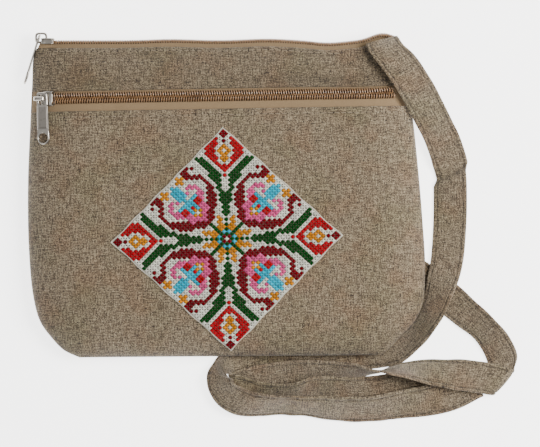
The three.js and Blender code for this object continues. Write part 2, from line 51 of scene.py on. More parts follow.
# %% [markdown]
# ## Camera and light
# The pouch is seen from straight above. A long lens far away keeps the edges of the pouch parallel,
# as in a product picture. The light is one large soft panel above the right, a weaker one at the
# left and an even white surround, so that shadows stay pale.

# %% Camera and lights
PIXEL = 0.55 * MM
IMAGE_SIZE = (540, 447)
VIEW_CENTRE = (23.9 * MM, -16.2 * MM)
CAMERA_HEIGHT = 2.2
POUCH_LEVEL = 10 * MM
SENSOR = 36.0
# name, place in metres, side in metres, power in watts and colour of each soft panel
PANEL_LIGHTS = (
    ("key_light", (0.7, 0.12, 0.85), 0.6, 23.5, (1.0, 0.98, 0.95)),
    ("fill_light", (-0.6, -0.3, 0.9), 1.0, 3.0, (0.95, 0.97, 1.0)),
)
SURROUND_STRENGTH = 0.4


def add_camera():
    """A camera straight above VIEW_CENTRE whose picture is as wide as the image at PIXEL a pixel."""
    data = bpy.data.cameras.new("camera")
    data.sensor_width = SENSOR
    data.lens = SENSOR * CAMERA_HEIGHT / (IMAGE_SIZE[0] * PIXEL)
    camera = bpy.data.objects.new("camera", data)
    camera.location = (*VIEW_CENTRE, CAMERA_HEIGHT + POUCH_LEVEL)
    bpy.context.collection.objects.link(camera)
    bpy.context.scene.camera = camera


def add_panel_light(name, place, size, power, colour):
    """A square soft light at a place, turned to face the pouch."""
    data = bpy.data.lights.new(name, "AREA")
    data.size = size
    data.energy = power
    data.color = colour
    light = bpy.data.objects.new(name, data)
    light.location = place
    away = np.array(place) / np.linalg.norm(place)
    light.rotation_euler = (np.arccos(away[2]), 0.0, np.arctan2(away[1], away[0]) + np.pi / 2)
    bpy.context.collection.objects.link(light)


def add_surround(strength):
    """An even white world around everything."""
    world = bpy.data.worlds.new("surround")
    world.use_nodes = True
    background = world.node_tree.nodes["Background"]
    background.inputs["Color"].default_value = (1.0, 1.0, 1.0, 1.0)
    background.inputs["Strength"].default_value = strength
    bpy.context.scene.world = world


add_camera()
for light_row in PANEL_LIGHTS:
    add_panel_light(*light_row)
add_surround(SURROUND_STRENGTH)

# %% [markdown]
# ## From arrays to meshes
# A surface is a grid of points, so its faces follow from the size of the grid alone. The helpers here
# join neighbouring points into quads, close a wall between two grids, and put whole arrays into a mesh.

# %% Mesh helpers


def grid_quads(rows, columns, wrap_rows=False, wrap_columns=False):
    """Quads between neighbours of a grid numbered row by row. A wrapped direction closes on itself."""
    i, j = np.meshgrid(
        np.arange(rows if wrap_rows else rows - 1),
        np.arange(columns if wrap_columns else columns - 1), indexing="ij")
    i2, j2 = (i + 1) % rows, (j + 1) % columns
    corners = [i * columns + j, i * columns + j2, i2 * columns + j2, i2 * columns + j]
    return np.stack(corners, -1).reshape(-1, 4)


def volume_of(points, faces):
    """Signed volume of a closed body: each face fanned into triangles, a.(b x c) / 6 summed."""
    total = 0.0
    for array in faces:
        for k in range(1, array.shape[1] - 1):
            a, b, c = points[array[:, 0]], points[array[:, k]], points[array[:, k + 1]]
            total += np.einsum("ij,ij->i", a, np.cross(b, c)).sum()
    return total / 6.0


def outward(points, faces):
    """The same faces, turned round where the body they close is inside out."""
    if volume_of(points - points.mean(0), faces) < 0:
        return [array[:, ::-1] for array in faces]
    return faces


def join_bodies(bodies):
    """Several (points, faces) bodies as one."""
    all_points, all_faces, start = [], [], 0
    for points, faces in bodies:
        all_points.append(points)
        all_faces += [array + start for array in faces]
        start += len(points)
    return np.concatenate(all_points), all_faces


def make_piece(name, points, faces, finish, uv=None, marks=None, sharp=50.0):
    """One mesh object from points in mm, face arrays, a UV pair per point and named values per point."""
    mesh = bpy.data.meshes.new(name)
    mesh.vertices.add(len(points))
    mesh.vertices.foreach_set("co", (points * MM).astype(np.float32).ravel())
    loops = np.concatenate([array.ravel() for array in faces]).astype(np.int32)
    sizes = np.concatenate([np.full(len(array), array.shape[1]) for array in faces])
    mesh.loops.add(len(loops))
    mesh.loops.foreach_set("vertex_index", loops)
    mesh.polygons.add(len(sizes))
    mesh.polygons.foreach_set("loop_start", (np.cumsum(sizes) - sizes).astype(np.int32))
    mesh.update(calc_edges=True)
    if uv is not None:
        layer = mesh.uv_layers.new(name="surface")
        layer.data.foreach_set("uv", (uv[loops] * MM).astype(np.float32).ravel())
    for mark, values in (marks or {}).items():
        attribute = mesh.attributes.new(mark, "FLOAT", "POINT")
        attribute.data.foreach_set("value", values.astype(np.float32))
    mesh.shade_smooth()
    mesh.set_sharp_from_angle(angle=np.radians(sharp))
    mesh.materials.append(finish)
    piece = bpy.data.objects.new(name, mesh)
    bpy.context.collection.objects.link(piece)
    print(f"{name}: {len(points)} points, {int((sizes - 2).sum())} triangles")
    return piece


def settle(piece, body, slot, *nodes):
    """The piece moves with a body and stands for CAD nodes; slot is not used."""
    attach(piece, body)
    if nodes:
        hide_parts(*nodes)


# %% [markdown]
# ## Curves through a few rows
# Outlines and the strap are given as short tables. A Catmull-Rom spline runs smoothly through
# their rows; its centripetal form keeps tight bends from overshooting.

# %% Catmull-Rom splines


def hermite(start, end, start_slope, end_slope, w):
    """Cubic from start to end as w goes from 0 to 1, with the two slopes."""
    return (start + start_slope * w + (3 * (end - start) - 2 * start_slope - end_slope) * w**2
            + (2 * (start - end) + start_slope + end_slope) * w**3)


def spline(rows, t, tension=None):
    """Points at t (0 to 1) of a spline through rows: centripetal, or of one tension throughout."""
    rows = np.asarray(rows, float)
    padded = np.concatenate([[2 * rows[0] - rows[1]], rows, [2 * rows[-1] - rows[-2]]])
    place = np.asarray(t, float) * (len(rows) - 1)
    k = np.minimum(place.astype(int), len(rows) - 2)
    w = (place - k)[:, None]
    p0, p1, p2, p3 = (padded[k + step] for step in range(4))
    if tension is not None:
        return hermite(p1, p2, tension * (p2 - p0), tension * (p3 - p1), w)
    d0, d1, d2 = (np.sqrt(np.linalg.norm(b - a, axis=1))[:, None] for a, b in ((p0, p1), (p1, p2), (p2, p3)))
    slope1 = ((p1 - p0) / d0 - (p2 - p0) / (d0 + d1) + (p2 - p1) / d1) * d1
    slope2 = ((p2 - p1) / d1 - (p3 - p1) / (d1 + d2) + (p3 - p2) / d2) * d1
    return hermite(p1, p2, slope1, slope2, w)


# %% [markdown]
# ## Finishes: shared node groups
# Linen is woven from uneven threads: each warp and weft thread has its own thickness and colour, which
# shows as fine streaks both ways. A node group makes those streaks once, and every cloth piece uses it
# with its own thread size and colours. A second group makes soft blotches, for handling marks and tarnish.

# %% Node helpers


def add_node(tree, kind, inputs=None, **settings):
    """A new node. Settings are its own properties; inputs are values or sockets to link from."""
    node = tree.nodes.new(kind)
    for key, value in settings.items():
        setattr(node, key, value)
    for key, value in (inputs or {}).items():
        if isinstance(value, bpy.types.NodeSocket):
            tree.links.new(value, node.inputs[key])
        else:
            node.inputs[key].default_value = value
    return node


def calculate(tree, kind, a, b=0.0):
    """A Math node of a kind, such as MULTIPLY, on one or two values or sockets."""
    return add_node(tree, "ShaderNodeMath", {0: a, 1: b}, operation=kind).outputs[0]


def mixed(tree, factor, a, b, blend="MIX"):
    """A colour mix of a and b."""
    inputs = {0: factor, 6: a, 7: b}
    return add_node(tree, "ShaderNodeMix", inputs, data_type="RGBA", blend_type=blend).outputs[2]


def blended(tree, factor, a, b):
    """A mix of two plain values."""
    return add_node(tree, "ShaderNodeMix", {0: factor, 2: a, 3: b}, data_type="FLOAT").outputs[0]


def new_group(name, inputs, outputs):
    """An empty shader node group with named sockets: pairs of name and socket kind."""
    group = bpy.data.node_groups.new(name, "ShaderNodeTree")
    for socket_name, kind in inputs:
        group.interface.new_socket(socket_name, in_out="INPUT", socket_type=kind)
    for socket_name, kind in outputs:
        group.interface.new_socket(socket_name, in_out="OUTPUT", socket_type=kind)
    return group, group.nodes.new("NodeGroupInput").outputs, group.nodes.new("NodeGroupOutput").inputs


def srgb(code):
    """Linear colour of a six-digit web colour code."""
    values = np.array([int(code[k:k + 2], 16) for k in (0, 2, 4)]) / 255
    linear = np.where(values <= 0.04045, values / 12.92, ((values + 0.055) / 1.055) ** 2.4)
    return (*linear, 1.0)


# %% [markdown]
# The streaks are noise pulled out long: along the cloth for the weft, up the cloth for the warp. The two
# take turns on top like the squares of a checkerboard, which is what plain weave does.

# %% Woven cloth and blotch groups
# stretch of the noise across, up and through the cloth, for the weft and the warp
STREAK_STRETCHES = ((0.15, 0.95, 1.0), (0.95, 0.13, 1.0))
STREAK_SHARE, GRAIN_SHARE, GRAIN_SCALE = 0.6, 0.4, 0.9
CROSSING_SHARPNESS, THREAD_ROUNDNESS = 1.6, 0.45


def make_weave_group():
    """Colour and height of plain weave from a surface place in metres and a thread spacing."""
    group, given, out = new_group("plain weave", [
        ("Place", "NodeSocketVector"), ("Thread Spacing", "NodeSocketFloat"), ("Slub", "NodeSocketFloat"),
        ("Dark", "NodeSocketColor"), ("Middle", "NodeSocketColor"), ("Light", "NodeSocketColor"),
    ], [("Color", "NodeSocketColor"), ("Height", "NodeSocketFloat")])
    steps = add_node(group, "ShaderNodeVectorMath", {0: given["Place"]}, operation="SCALE")
    group.links.new(calculate(group, "DIVIDE", 1.0, given["Thread Spacing"]), steps.inputs["Scale"])
    apart = add_node(group, "ShaderNodeSeparateXYZ", {"Vector": steps.outputs[0]})
    wave_x = calculate(group, "SINE", calculate(group, "MULTIPLY", apart.outputs["X"], np.pi))
    wave_y = calculate(group, "SINE", calculate(group, "MULTIPLY", apart.outputs["Y"], np.pi))
    over = calculate(group, "MULTIPLY_ADD", calculate(group, "MULTIPLY", wave_x, wave_y), CROSSING_SHARPNESS)
    over.node.inputs[2].default_value = 0.5
    over.node.use_clamp = True
    streaks = []
    for stretch in STREAK_STRETCHES:
        long = add_node(group, "ShaderNodeVectorMath", {0: steps.outputs[0], 1: stretch},
                        operation="MULTIPLY")
        noise = add_node(group, "ShaderNodeTexNoise",
                         {"Vector": long.outputs[0], "Scale": 1.0, "Detail": 3.0, "Roughness": 0.6})
        streaks.append(noise.outputs["Fac"])
    woven = blended(group, over, *streaks)
    fine = add_node(group, "ShaderNodeTexNoise",
                    {"Vector": steps.outputs[0], "Scale": GRAIN_SCALE, "Detail": 2.0})
    tone = calculate(group, "ADD", calculate(group, "MULTIPLY", woven, STREAK_SHARE),
                     calculate(group, "MULTIPLY", fine.outputs["Fac"], GRAIN_SHARE))
    tone = calculate(group, "MULTIPLY_ADD", calculate(group, "SUBTRACT", tone, 0.5), given["Slub"])
    tone.node.inputs[2].default_value = 0.5
    low = add_node(group, "ShaderNodeMapRange", {"Value": tone, "From Min": 0.12, "From Max": 0.5})
    high = add_node(group, "ShaderNodeMapRange", {"Value": tone, "From Min": 0.5, "From Max": 0.9})
    colour = mixed(group, low.outputs[0], given["Dark"], given["Middle"])
    colour = mixed(group, high.outputs[0], colour, given["Light"])
    group.links.new(colour, out["Color"])
    profile = blended(group, over, calculate(group, "ABSOLUTE", wave_y), calculate(group, "ABSOLUTE", wave_x))
    height = calculate(group, "ADD", calculate(group, "MULTIPLY", profile, THREAD_ROUNDNESS), tone)
    group.links.new(height, out["Height"])
    return group


def make_blotch_group():
    """A soft mask from 0 to 1 in patches of a given size, for handling marks, fading and tarnish."""
    group, given, out = new_group("soft blotches", [
        ("Place", "NodeSocketVector"), ("Patch Size", "NodeSocketFloat"), ("Coverage", "NodeSocketFloat"),
    ], [("Mask", "NodeSocketFloat")])
    scale = calculate(group, "DIVIDE", 1.0, given["Patch Size"])
    noise = add_node(group, "ShaderNodeTexNoise", {"Vector": given["Place"], "Scale": scale, "Detail": 3.0})
    start = calculate(group, "SUBTRACT", 0.75, calculate(group, "MULTIPLY", given["Coverage"], 0.5))
    mask = add_node(group, "ShaderNodeMapRange", {
        "Value": noise.outputs["Fac"], "From Min": start, "From Max": calculate(group, "ADD", start, 0.22),
    }, interpolation_type="SMOOTHSTEP")
    group.links.new(mask.outputs[0], out["Mask"])
    return group


def blotches(tree, place, size, coverage):
    """The mask of a blotch group at a place, with patches of a size in mm."""
    inputs = {"Place": place, "Patch Size": size * MM, "Coverage": coverage}
    return add_node(tree, "ShaderNodeGroup", inputs, node_tree=BLOTCH).outputs["Mask"]


WEAVE = make_weave_group()
BLOTCH = make_blotch_group()

# %% [markdown]
# ## Cloth finishes
# Natural linen is grey-brown, with warmer and paler patches. It scatters light softly and hardly shines, so
# its roughness is high and a faint sheen stands for loose fibres. The zip tapes are the same weave, finer and
# more even, in tan.

# %% Cloth materials
TINT_COVERAGE = 0.6
SHADE_COLOUR = (0.09, 0.08, 0.07, 1.0)


def new_material(name, roughness, **constants):
    """A material with a Principled shader: returns it, its tree and the shader's inputs."""
    material = bpy.data.materials.new(name)
    material.use_nodes = True
    inputs = material.node_tree.nodes["Principled BSDF"].inputs
    inputs["Roughness"].default_value = roughness
    for key, value in constants.items():
        inputs[key.replace("_", " ")].default_value = value
    return material, material.node_tree, inputs


def set_bump(tree, inputs, height, distance, strength=1.0):
    """Bump from a height, distance in metres at full height."""
    bump = add_node(tree, "ShaderNodeBump", {"Height": height, "Distance": distance, "Strength": strength})
    tree.links.new(bump.outputs["Normal"], inputs["Normal"])


def make_cloth(name, dark, middle, light, spacing=0.7, slub=3.8, tints=(), depth=0.25, mark=None):
    """Woven cloth in three thread colours, with patches of other tints, thread spacing in mm.
    Mark names a value of the piece's points that darkens it, for places that lie in shade."""
    material, tree, inputs = new_material(name, 0.92, Sheen_Weight=0.1, Sheen_Roughness=0.6)
    place = add_node(tree, "ShaderNodeUVMap", uv_map="surface").outputs["UV"]
    weave = add_node(tree, "ShaderNodeGroup", {
        "Place": place, "Thread Spacing": spacing * MM, "Slub": slub,
        "Dark": srgb(dark), "Middle": srgb(middle), "Light": srgb(light)}, node_tree=WEAVE)
    colour = weave.outputs["Color"]
    for tint, size in tints:
        tinted = mixed(tree, 1.0, colour, srgb(tint), "MULTIPLY")
        colour = mixed(tree, blotches(tree, place, size, TINT_COVERAGE), colour, tinted)
    if mark:
        shade = add_node(tree, "ShaderNodeAttribute", attribute_name=mark).outputs["Fac"]
        colour = mixed(tree, shade, colour, mixed(tree, 1.0, colour, SHADE_COLOUR, "MULTIPLY"))
    tree.links.new(colour, inputs["Base Color"])
    set_bump(tree, inputs, weave.outputs["Height"], depth * MM)
    return material


# colour that multiplies the cloth in soft patches, and the size of the patches in mm
LINEN_TINTS = (("fbeee6", 19), ("f0f4ea", 31))
LINEN = make_cloth("natural linen", "261c13", "645643", "97896f", tints=LINEN_TINTS, mark="shade")
# the upper panel's linen is the same cloth made darker: painted shade over the upper panel, which sags
# between the zips
SHADED_UPPER_LINEN = make_cloth("shaded upper linen", "21180f", "5a4d3b", "8a7c63", tints=LINEN_TINTS, mark="shade")
# the strap's seam value is painted shade: in the stitched grooves, in the sharp crease and just after it
STRAP_LINEN = make_cloth("strap linen", "271d14", "635644", "94866e", tints=LINEN_TINTS, mark="seam")
TAPE = make_cloth("zip tape", "584731", "7b664a", "907a5d", spacing=0.4, slub=0.9, depth=0.1)

# %% [markdown]
# ## The strap
# The strap is one long band of linen, folded double and top-stitched near both edges. It is sewn in at the
# upper right corner of the front and behind the left end, and drops beside the pouch in flat loops. Its
# centre line is a table of places, each with the direction the band's width points in; a rounded flat
# section is swept along it.

# %% The strap's route
STRAP_WIDTH = 18.0
STRAP_THICK = 1.5
STRAP_STEPS = 560

# x, y, z in mm, then the turn and the lean of the width in degrees
STRAP_ROUTE = (
    (84.9, 84.4, 15.8, 14, -12), (87.2, 79.5, 19.4, 16, -9), (92.8, 72.6, 20, 27, -9),
    (102, 59.2, 17.2, 29, -12), (110.8, 44.2, 11.6, 28, -12), (118.4, 29.5, 5.4, 24, -7),
    (122.5, 14, 2.2, 12, 0), (123.2, -4, 1.4, 0, 0), (122.6, -24, 2, -3, 4), (121, -39, 4.6, -8, 12),
    (117.8, -51, 7.8, -20, 28), (113, -64.5, 9.2, -33, 44), (103.4, -78.5, 8.2, -45, 48),
    (93, -85.8, 5.7, -62, 32), (85, -87, 3.1, -75, 14), (76, -87.8, 1.7, -85, 4),
    (60, -88.6, 1.2, -89, 1), (35, -89.2, 1.2, -90, 0), (15, -89.8, 1.7, -93, 3),
    (4.4, -91.2, 3.8, -92, 16), (-1.4, -93.2, 8.2, -76, 50), (-3.4, -96.6, 10.4, -40, 54),
    (-3.8, -101.2, 10.4, -4, 38), (-2.6, -106.4, 9.4, 20, 34), (2.4, -111.6, 8.4, 38, 24),
    (9.4, -115.2, 8.6, 58, 28), (20, -116.2, 8.6, 84, 47), (36, -116.2, 8.6, 91, 53),
    (62, -118.4, 7, 88, 41), (81, -118.2, 6.8, 92, 37), (100, -115.4, 5.6, 97, 26),
    (114, -113.2, 4.8, 101, 14), (126, -109.6, 4, 112, 6), (134.5, -105, 4.2, 120, 3),
    (136.8, -104, 2.7, 121, 1), (134.2, -104.6, 1.2, 121, 0), (124, -106.6, 1.1, 106, 0),
    (112, -106.2, 1.4, 98, 2), (94, -107.2, 2.6, 94, 8), (80, -108.8, 4, 89, 17),
    (66, -108.6, 5.6, 86, 28), (48, -107.4, 6.8, 80, 37), (33, -110.6, 7.8, 80, 44),
    (17, -110.6, 6.8, 90, 30), (9.8, -108.4, 7.1, 96, 21), (5.2, -107.2, 7.1, 110, 18),
    (4.4, -106.6, 5.8, 112, 18), (7, -105.6, 4.8, 110, 20), (21, -101.8, 5, 96, 24),
    (42, -99, 5.9, 92, 31), (57, -99.2, 6.6, 88, 38), (70, -97.8, 9, 84, 60),
    (83, -97.7, 10.2, 84, 86), (95, -96.8, 10.2, 82, 110), (106, -97.2, 8.8, 80, 130),
    (118, -98.4, 8, 79, 146), (131, -99.8, 7.2, 78, 164), (145.6, -102, 5.6, 66, 174),
    (151.2, -103.6, 4.4, 54, 180), (152.8, -104, 2.8, 48, 180), (152.4, -102.2, 1.3, 43, 180),
    (152.8, -93.6, 2.4, 32, 187), (148.4, -82.6, 5, 33, 205), (141.2, -73.6, 5.6, 38, 210),
    (131, -65, 4, 44, 199), (120, -55.6, 1.4, 51, 182), (104, -44, 1, 57, 180),
    (60, -18.5, 1, 60, 180), (0, 15, 1, 61, 180), (-60, 46, 1, 63, 180), (-99, 66, 1.2, 63, 180),
)

# %% [markdown]
# Cloth is never quite flat. The band waves a little along its length, has short folds and one sharp crease,
# and its edges slip sideways near that crease. The two rows of stitching press a groove into both faces.
# Painted shade darkens the grooves, the crease and the cloth just after it.

# %% The strap's folds and surface
# distance along the strap, slant from edge to edge and depth of short folds across it
STRAP_FOLDS = (
    (88, -3.4, -0.7), (92, -3.4, 1.1), (118, 3, 0.5), (152, 3, -0.4),
    (300, 3, 0.4), (352, 3, -0.4), (405, 3, 0.5), (640, 3, 0.4),
)
FOLD_REACH = 2.2
# the one sharp crease: distance along the strap and slant; shade in it and just after it, with their reach
CREASE_AT, CREASE_SLANT = 87.8, -3.4
CREASE_SHADE, CREASE_REACH, AFTER_SHADE, AFTER_REACH = 0.4, 1.6, 0.2, 14.0
# the stitched groove: place and reach as shares of half the width, depth in mm, shade
SEAM_PLACE, SEAM_REACH, SEAM_DEPTH, SEAM_SHADE = 0.76, 0.045, 0.4, 0.6
MOST_SHADE, TABLE_CLEARANCE = 0.8, 0.05
# how far the strap's edges slip to the right of its route: distance along it, left edge, right edge
STRAP_SLIPS = (
    (0, 0, 0), (12, 0.3, 1.6), (25, 0.3, 2.3), (45, 0.1, 2.1), (65, 0, 1.2),
    (77, 0.5, 1.6), (86.5, 1.9, 2.1), (89, 0, 0.5), (110, 0, 0.5), (150, 0, 0),
)


def unit(vectors):
    """Vectors of length one."""
    return vectors / np.linalg.norm(vectors, axis=-1, keepdims=True)


def aim(heading, rise):
    """Directions of a heading on the plan and a rise above it, in degrees."""
    heading, rise = np.radians(heading), np.radians(rise)
    return np.stack([np.cos(rise) * np.cos(heading), np.cos(rise) * np.sin(heading), np.sin(rise)], -1)


def lengths_along(line):
    """Distance of each point of a line from its start, along it."""
    return np.concatenate([[0], np.cumsum(np.linalg.norm(np.diff(line, axis=0), axis=1))])


def strap_frame(count):
    """Centre, width direction and face direction at evenly spaced shares of the route."""
    rows = np.array(STRAP_ROUTE, float)
    t = np.linspace(0, 1, count)
    centre = spline(rows[:, :3], t)
    across = aim(*spline(rows[:, 3:], t, tension=0.3).T)
    return centre, across, unit(np.cross(np.gradient(centre, axis=0), across))


def flat_section(power, steps):
    """Shares (-1 to 1) across and through a flat band, once round: b = sqrt(1 - |a| ^ power) on each face."""
    a = np.sin(np.linspace(-0.5, 0.5, steps) * np.pi)
    b = (1 - np.abs(a) ** power) ** 0.5
    return np.concatenate([a, a[-2:0:-1]]), np.concatenate([b, -b[-2:0:-1]])


def strap_lift(length, a):
    """How far the cloth stands off its flat shape: slow waves, less a bell at each fold."""
    lift = 0.3 * np.sin(length / 6.3) * np.cos(a * 2.2) + 0.22 * np.sin(length / 2.7 + 1) * a
    for distance, slant, depth in STRAP_FOLDS:
        lift = lift - depth * np.exp(-(((length - distance - slant * a) / FOLD_REACH) ** 2))
    return lift


def strap_slip(length, a):
    """How far a point slips to the right, in proportion between the two edges."""
    distance, left, right = np.array(STRAP_SLIPS).T
    place = length - CREASE_SLANT * a
    return np.interp(place, distance, left) * (1 - a) / 2 + np.interp(place, distance, right) * (1 + a) / 2


def strap_shade(length, a, seam):
    """Shade from 0 to 1: in the stitched grooves, in the sharp crease and just after it."""
    since = length - CREASE_AT - CREASE_SLANT * a
    crease = CREASE_SHADE * np.exp(-((since / CREASE_REACH) ** 2))
    after = AFTER_SHADE * (since > 0) * np.exp(-since / AFTER_REACH)
    return np.minimum(SEAM_SHADE * seam + crease + after, MOST_SHADE)


def make_strap(count):
    """The band: centre + width * a / 2 + thickness * b / 2, with a stitched groove near both edges."""
    centre, across, face = strap_frame(count)
    a, b = flat_section(power=14, steps=33)
    length = lengths_along(centre)[:, None]
    seam = np.exp(-(((np.abs(a) - SEAM_PLACE) / SEAM_REACH) ** 2))
    groove = SEAM_DEPTH * seam * (1 + 0.5 * np.sin(length * 2.1))
    half_thick = np.maximum(np.abs(b) * STRAP_THICK / 2 - groove, 0.1 * np.abs(b))
    through = np.sign(b) * half_thick + strap_lift(length, a)
    sideways = a * STRAP_WIDTH / 2
    points = centre[:, None] + across[:, None] * sideways[:, None] + face[:, None] * through[..., None]
    points[..., 0] += strap_slip(length, a)
    points[..., 2] = np.maximum(points[..., 2], TABLE_CLEARANCE)
    points = points.reshape(-1, 3)
    sides = len(a)
    ends = [np.arange(sides)[None, ::-1], np.arange(sides)[None] + (count - 1) * sides]
    faces = outward(points, [grid_quads(count, sides, wrap_columns=True)] + ends)
    uv = np.stack(np.broadcast_arrays(length, sideways), -1).reshape(-1, 2)
    return points, faces, uv, strap_shade(length, a, seam).ravel(), centre, length[-1, 0]


strap_points, strap_faces, strap_uv, strap_painted_shade, strap_centre, strap_length = make_strap(STRAP_STEPS)
# the seam value put on the strap is its painted shade in the grooves, the crease and after it
strap = make_piece("strap_band", strap_points, strap_faces, STRAP_LINEN, strap_uv, {"seam": strap_painted_shade})
settle(strap, "bag", "strap_linen", "strap")
print(f"strap: {strap_length:.0f} mm long")

# %% [markdown]
# The table is a wide flat plane. It only holds the shadow, so it is left out of the part.

# %% The table
TABLE_HALF = 1.5
TABLE_COLOUR = (0.93, 0.93, 0.92, 1.0)
TABLE_GLOW = 3.2


def make_table():
    """A flat square under everything, pale and plain."""
    material, _, inputs = new_material("pale table", 0.9)
    inputs["Base Color"].default_value = TABLE_COLOUR
    inputs["Emission Color"].default_value = (1.0, 1.0, 1.0, 1.0)
    inputs["Emission Strength"].default_value = TABLE_GLOW
    corners = np.array([(-1, -1, 0), (1, -1, 0), (1, 1, 0), (-1, 1, 0)]) * TABLE_HALF / MM
    return make_piece("table", corners, [np.array([[0, 1, 2, 3]])], material)


make_table()

# %% [markdown]
# ## The pouch as a surface
# The pouch is two sheets of linen sewn together round the sides and bottom. Lying on its back it is nearly
# flat in the middle and rolls down to the seam at its edges. Both sheets are worked out on the same plan:
# u runs across the outline and v up it. The front also has shallow dents and creases, as soft cloth does.

# %% Sizes, outline and folds
BOTTOM, BOTTOM_RISE, TOP = -90.0, 1.4, 84.6
CROWN, SIDE_SEAM, TOP_SEAM_LIFT, BOTTOM_SEAM_LIFT = 21.0, 6.0, 3.4, 1.8
FRONT_ROLL = {"side": 34.0, "bottom": 30.0, "top": 46.0}
BACK_ROLL = {"side": 20.0, "bottom": 50.0, "top": 20.0}
SEAM_HALF_GAP = 0.15
LINEN_THICK, TAPE_THICK, TAPE_OFFSET = 1.3, 1.0, -1.6

# y, x in mm up the left and right sides
LEFT_EDGE = ((-90, -81), (-86, -89.5), (-79, -96.5), (-70, -102.8), (-56, -106.6), (-30, -109), (5, -109.5),
             (40, -108.1), (62, -107), (74, -106.4), (80, -104.5), (84.6, -101.5))
RIGHT_EDGE = ((-90, 85), (-86, 90), (-80, 95.5), (-72, 103.2), (-62, 107.9), (-42, 109.4), (-15, 107.9),
              (10, 105.8), (40, 102.6), (65, 99), (84.6, 95))
# x, reach, lift of the waves along the top edge
CREST_WAVES = ((86, 9, 4), (56, 11, -1.2), (22, 16, 0.9), (-30, 16, 0.7))
# x, y, reach across, reach up, depth
DENTS = ((72, 66, 15, 9, 4.2), (-92, 64, 12, 7, 1.6), (20, 68, 45, 7, 1.5), (-62, 18, 4, 30, 0.8),
         (76, -62, 26, 10, 1.2))
# x, y, direction in degrees, length, width, height
CREASES = (
    (-66, 10, 93, 30, 3.2, -0.5), (-52, 22, 86, 16, 2.6, -0.3), (-84, 20, 97, 24, 4.0, 0.35),
    (84, 62, -38, 14, 2.4, 0.8), (70, 70, -30, 12, 2.2, -0.7), (92, 30, 98, 22, 3.4, -0.5),
    (86, -10, 95, 30, 3.0, 0.35), (60, -76, 8, 30, 3.0, -0.5), (-50, -74, -6, 36, 3.2, -0.45),
    (-88, -58, -48, 15, 3.0, 0.5), (90, -60, 50, 14, 3.0, 0.5), (20, 66, 2, 40, 2.4, 0.4),
    (-60, 66, -3, 30, 2.2, -0.3), (40, 18, 80, 18, 3.0, -0.25), (87, 8, 93, 55, 1.3, -0.5),
    (50, 71, 2, 52, 5.0, 2.6), (50, 60, 2, 52, 4.5, -3.0), (-45, 70, 0, 45, 5.0, 1.4),
    (-45, 59, 0, 45, 4.0, -1.6),
)

# %% [markdown]
# On the plan, the sides are splines and the lower and upper edges nearly straight. The height of the cloth
# depends on how far a place is from each edge: a quarter circle brings it up from the seam.

# %% The plan and the rolled edges


def mix(a, b, share):
    """a and b in proportion."""
    return a + (b - a) * share


def side_line(rows):
    """A smooth side through its rows, close enough together to read straight between points."""
    return spline(rows, np.linspace(0, 1, len(rows) * 8 + 1))


LEFT_LINE, RIGHT_LINE = side_line(LEFT_EDGE), side_line(RIGHT_EDGE)


def bottom_edge(u):
    """Height of the lower seam on the plan, rising a little to the right."""
    return BOTTOM + BOTTOM_RISE * u


def top_edge(u):
    """Height of the crest on the plan: a straight line with bell-shaped waves."""
    x = mix(LEFT_EDGE[-1][1], RIGHT_EDGE[-1][1], u)
    return TOP + sum(lift * np.exp(-(((x - middle) / reach) ** 2)) for middle, reach, lift in CREST_WAVES)


def seam_height(v):
    """Height of the seam above the table: lowest at the sides' middle, higher at the top and bottom."""
    return SIDE_SEAM + TOP_SEAM_LIFT * v**4 + BOTTOM_SEAM_LIFT * (1 - v) ** 6


def roll(distance, reach):
    """A quarter circle: 0 on the edge, 1 where the roll ends."""
    left = 1 - np.clip(distance / reach, 0, 1)
    return np.sqrt(1 - left**2)


def sides_at(v):
    """Left and right x of the outline at v."""
    level = mix(BOTTOM, TOP, v)
    return [np.interp(level, line[:, 0], line[:, 1]) for line in (LEFT_LINE, RIGHT_LINE)]


def plan(u, v, reach):
    """Plan place of u, v, and the product of the rolls from all four edges."""
    left, right = sides_at(v)
    x = mix(left, right, u)
    low, high = bottom_edge(u), top_edge(u)
    y = mix(low, high, v)
    rise = roll(x - left, reach["side"]) * roll(right - x, reach["side"])
    return x, y, rise * roll(y - low, reach["bottom"]) * roll(high - y, reach["top"])


def height_to_v(u, y):
    """The v of a height on the plan."""
    return (y - bottom_edge(u)) / (top_edge(u) - bottom_edge(u))


# %% [markdown]
# The front adds dents and creases to its roll. The back lies on the table, except over the strap that
# passes under it. Other pieces are laid on either sheet at a distance along its normal.

# %% Front and back surfaces
# the strap's straight run under the pouch, and the channel over it: half width, slope and height in mm
UNDER_FROM, UNDER_TO = STRAP_ROUTE[-5], STRAP_ROUTE[-2]
CHANNEL_HALF, CHANNEL_SLOPE, CHANNEL_HEIGHT = 17.0, 12.0, 2.4
# step between the places that a normal is worked out from, and how far they stay from the edges, in u and v
NORMAL_STEP, NORMAL_EDGE = 0.004, 0.006


def bell(x, y, middle_x, middle_y, reach_x, reach_y):
    """A smooth bump that is 1 in its middle and fades beyond its reach each way."""
    return np.exp(-(((x - middle_x) / reach_x) ** 2) - ((y - middle_y) / reach_y) ** 2)


def crease_height(x, y):
    """Sum of short soft folds: a bell along each, a sharper bell less a wider one across it."""
    total = np.zeros_like(x)
    for middle_x, middle_y, direction, length, width, height in CREASES:
        cos, sin = np.cos(np.radians(direction)), np.sin(np.radians(direction))
        along = ((x - middle_x) * cos + (y - middle_y) * sin) / length
        across = ((y - middle_y) * cos - (x - middle_x) * sin) / width
        total += height * np.exp(-(along**2)) * (np.exp(-(across**2)) - 0.45 * np.exp(-((across / 2) ** 2)))
    return total


def front_surface(u, v):
    """seam + (crown - seam - dents + creases) * rolls, above the plan place."""
    x, y, rise = plan(u, v, FRONT_ROLL)
    dents = sum(depth * bell(x, y, *where) for *where, depth in DENTS)
    seam = seam_height(v) + SEAM_HALF_GAP
    return np.stack([x, y, seam + (CROWN - seam - dents + crease_height(x, y) * rise) * rise], -1)


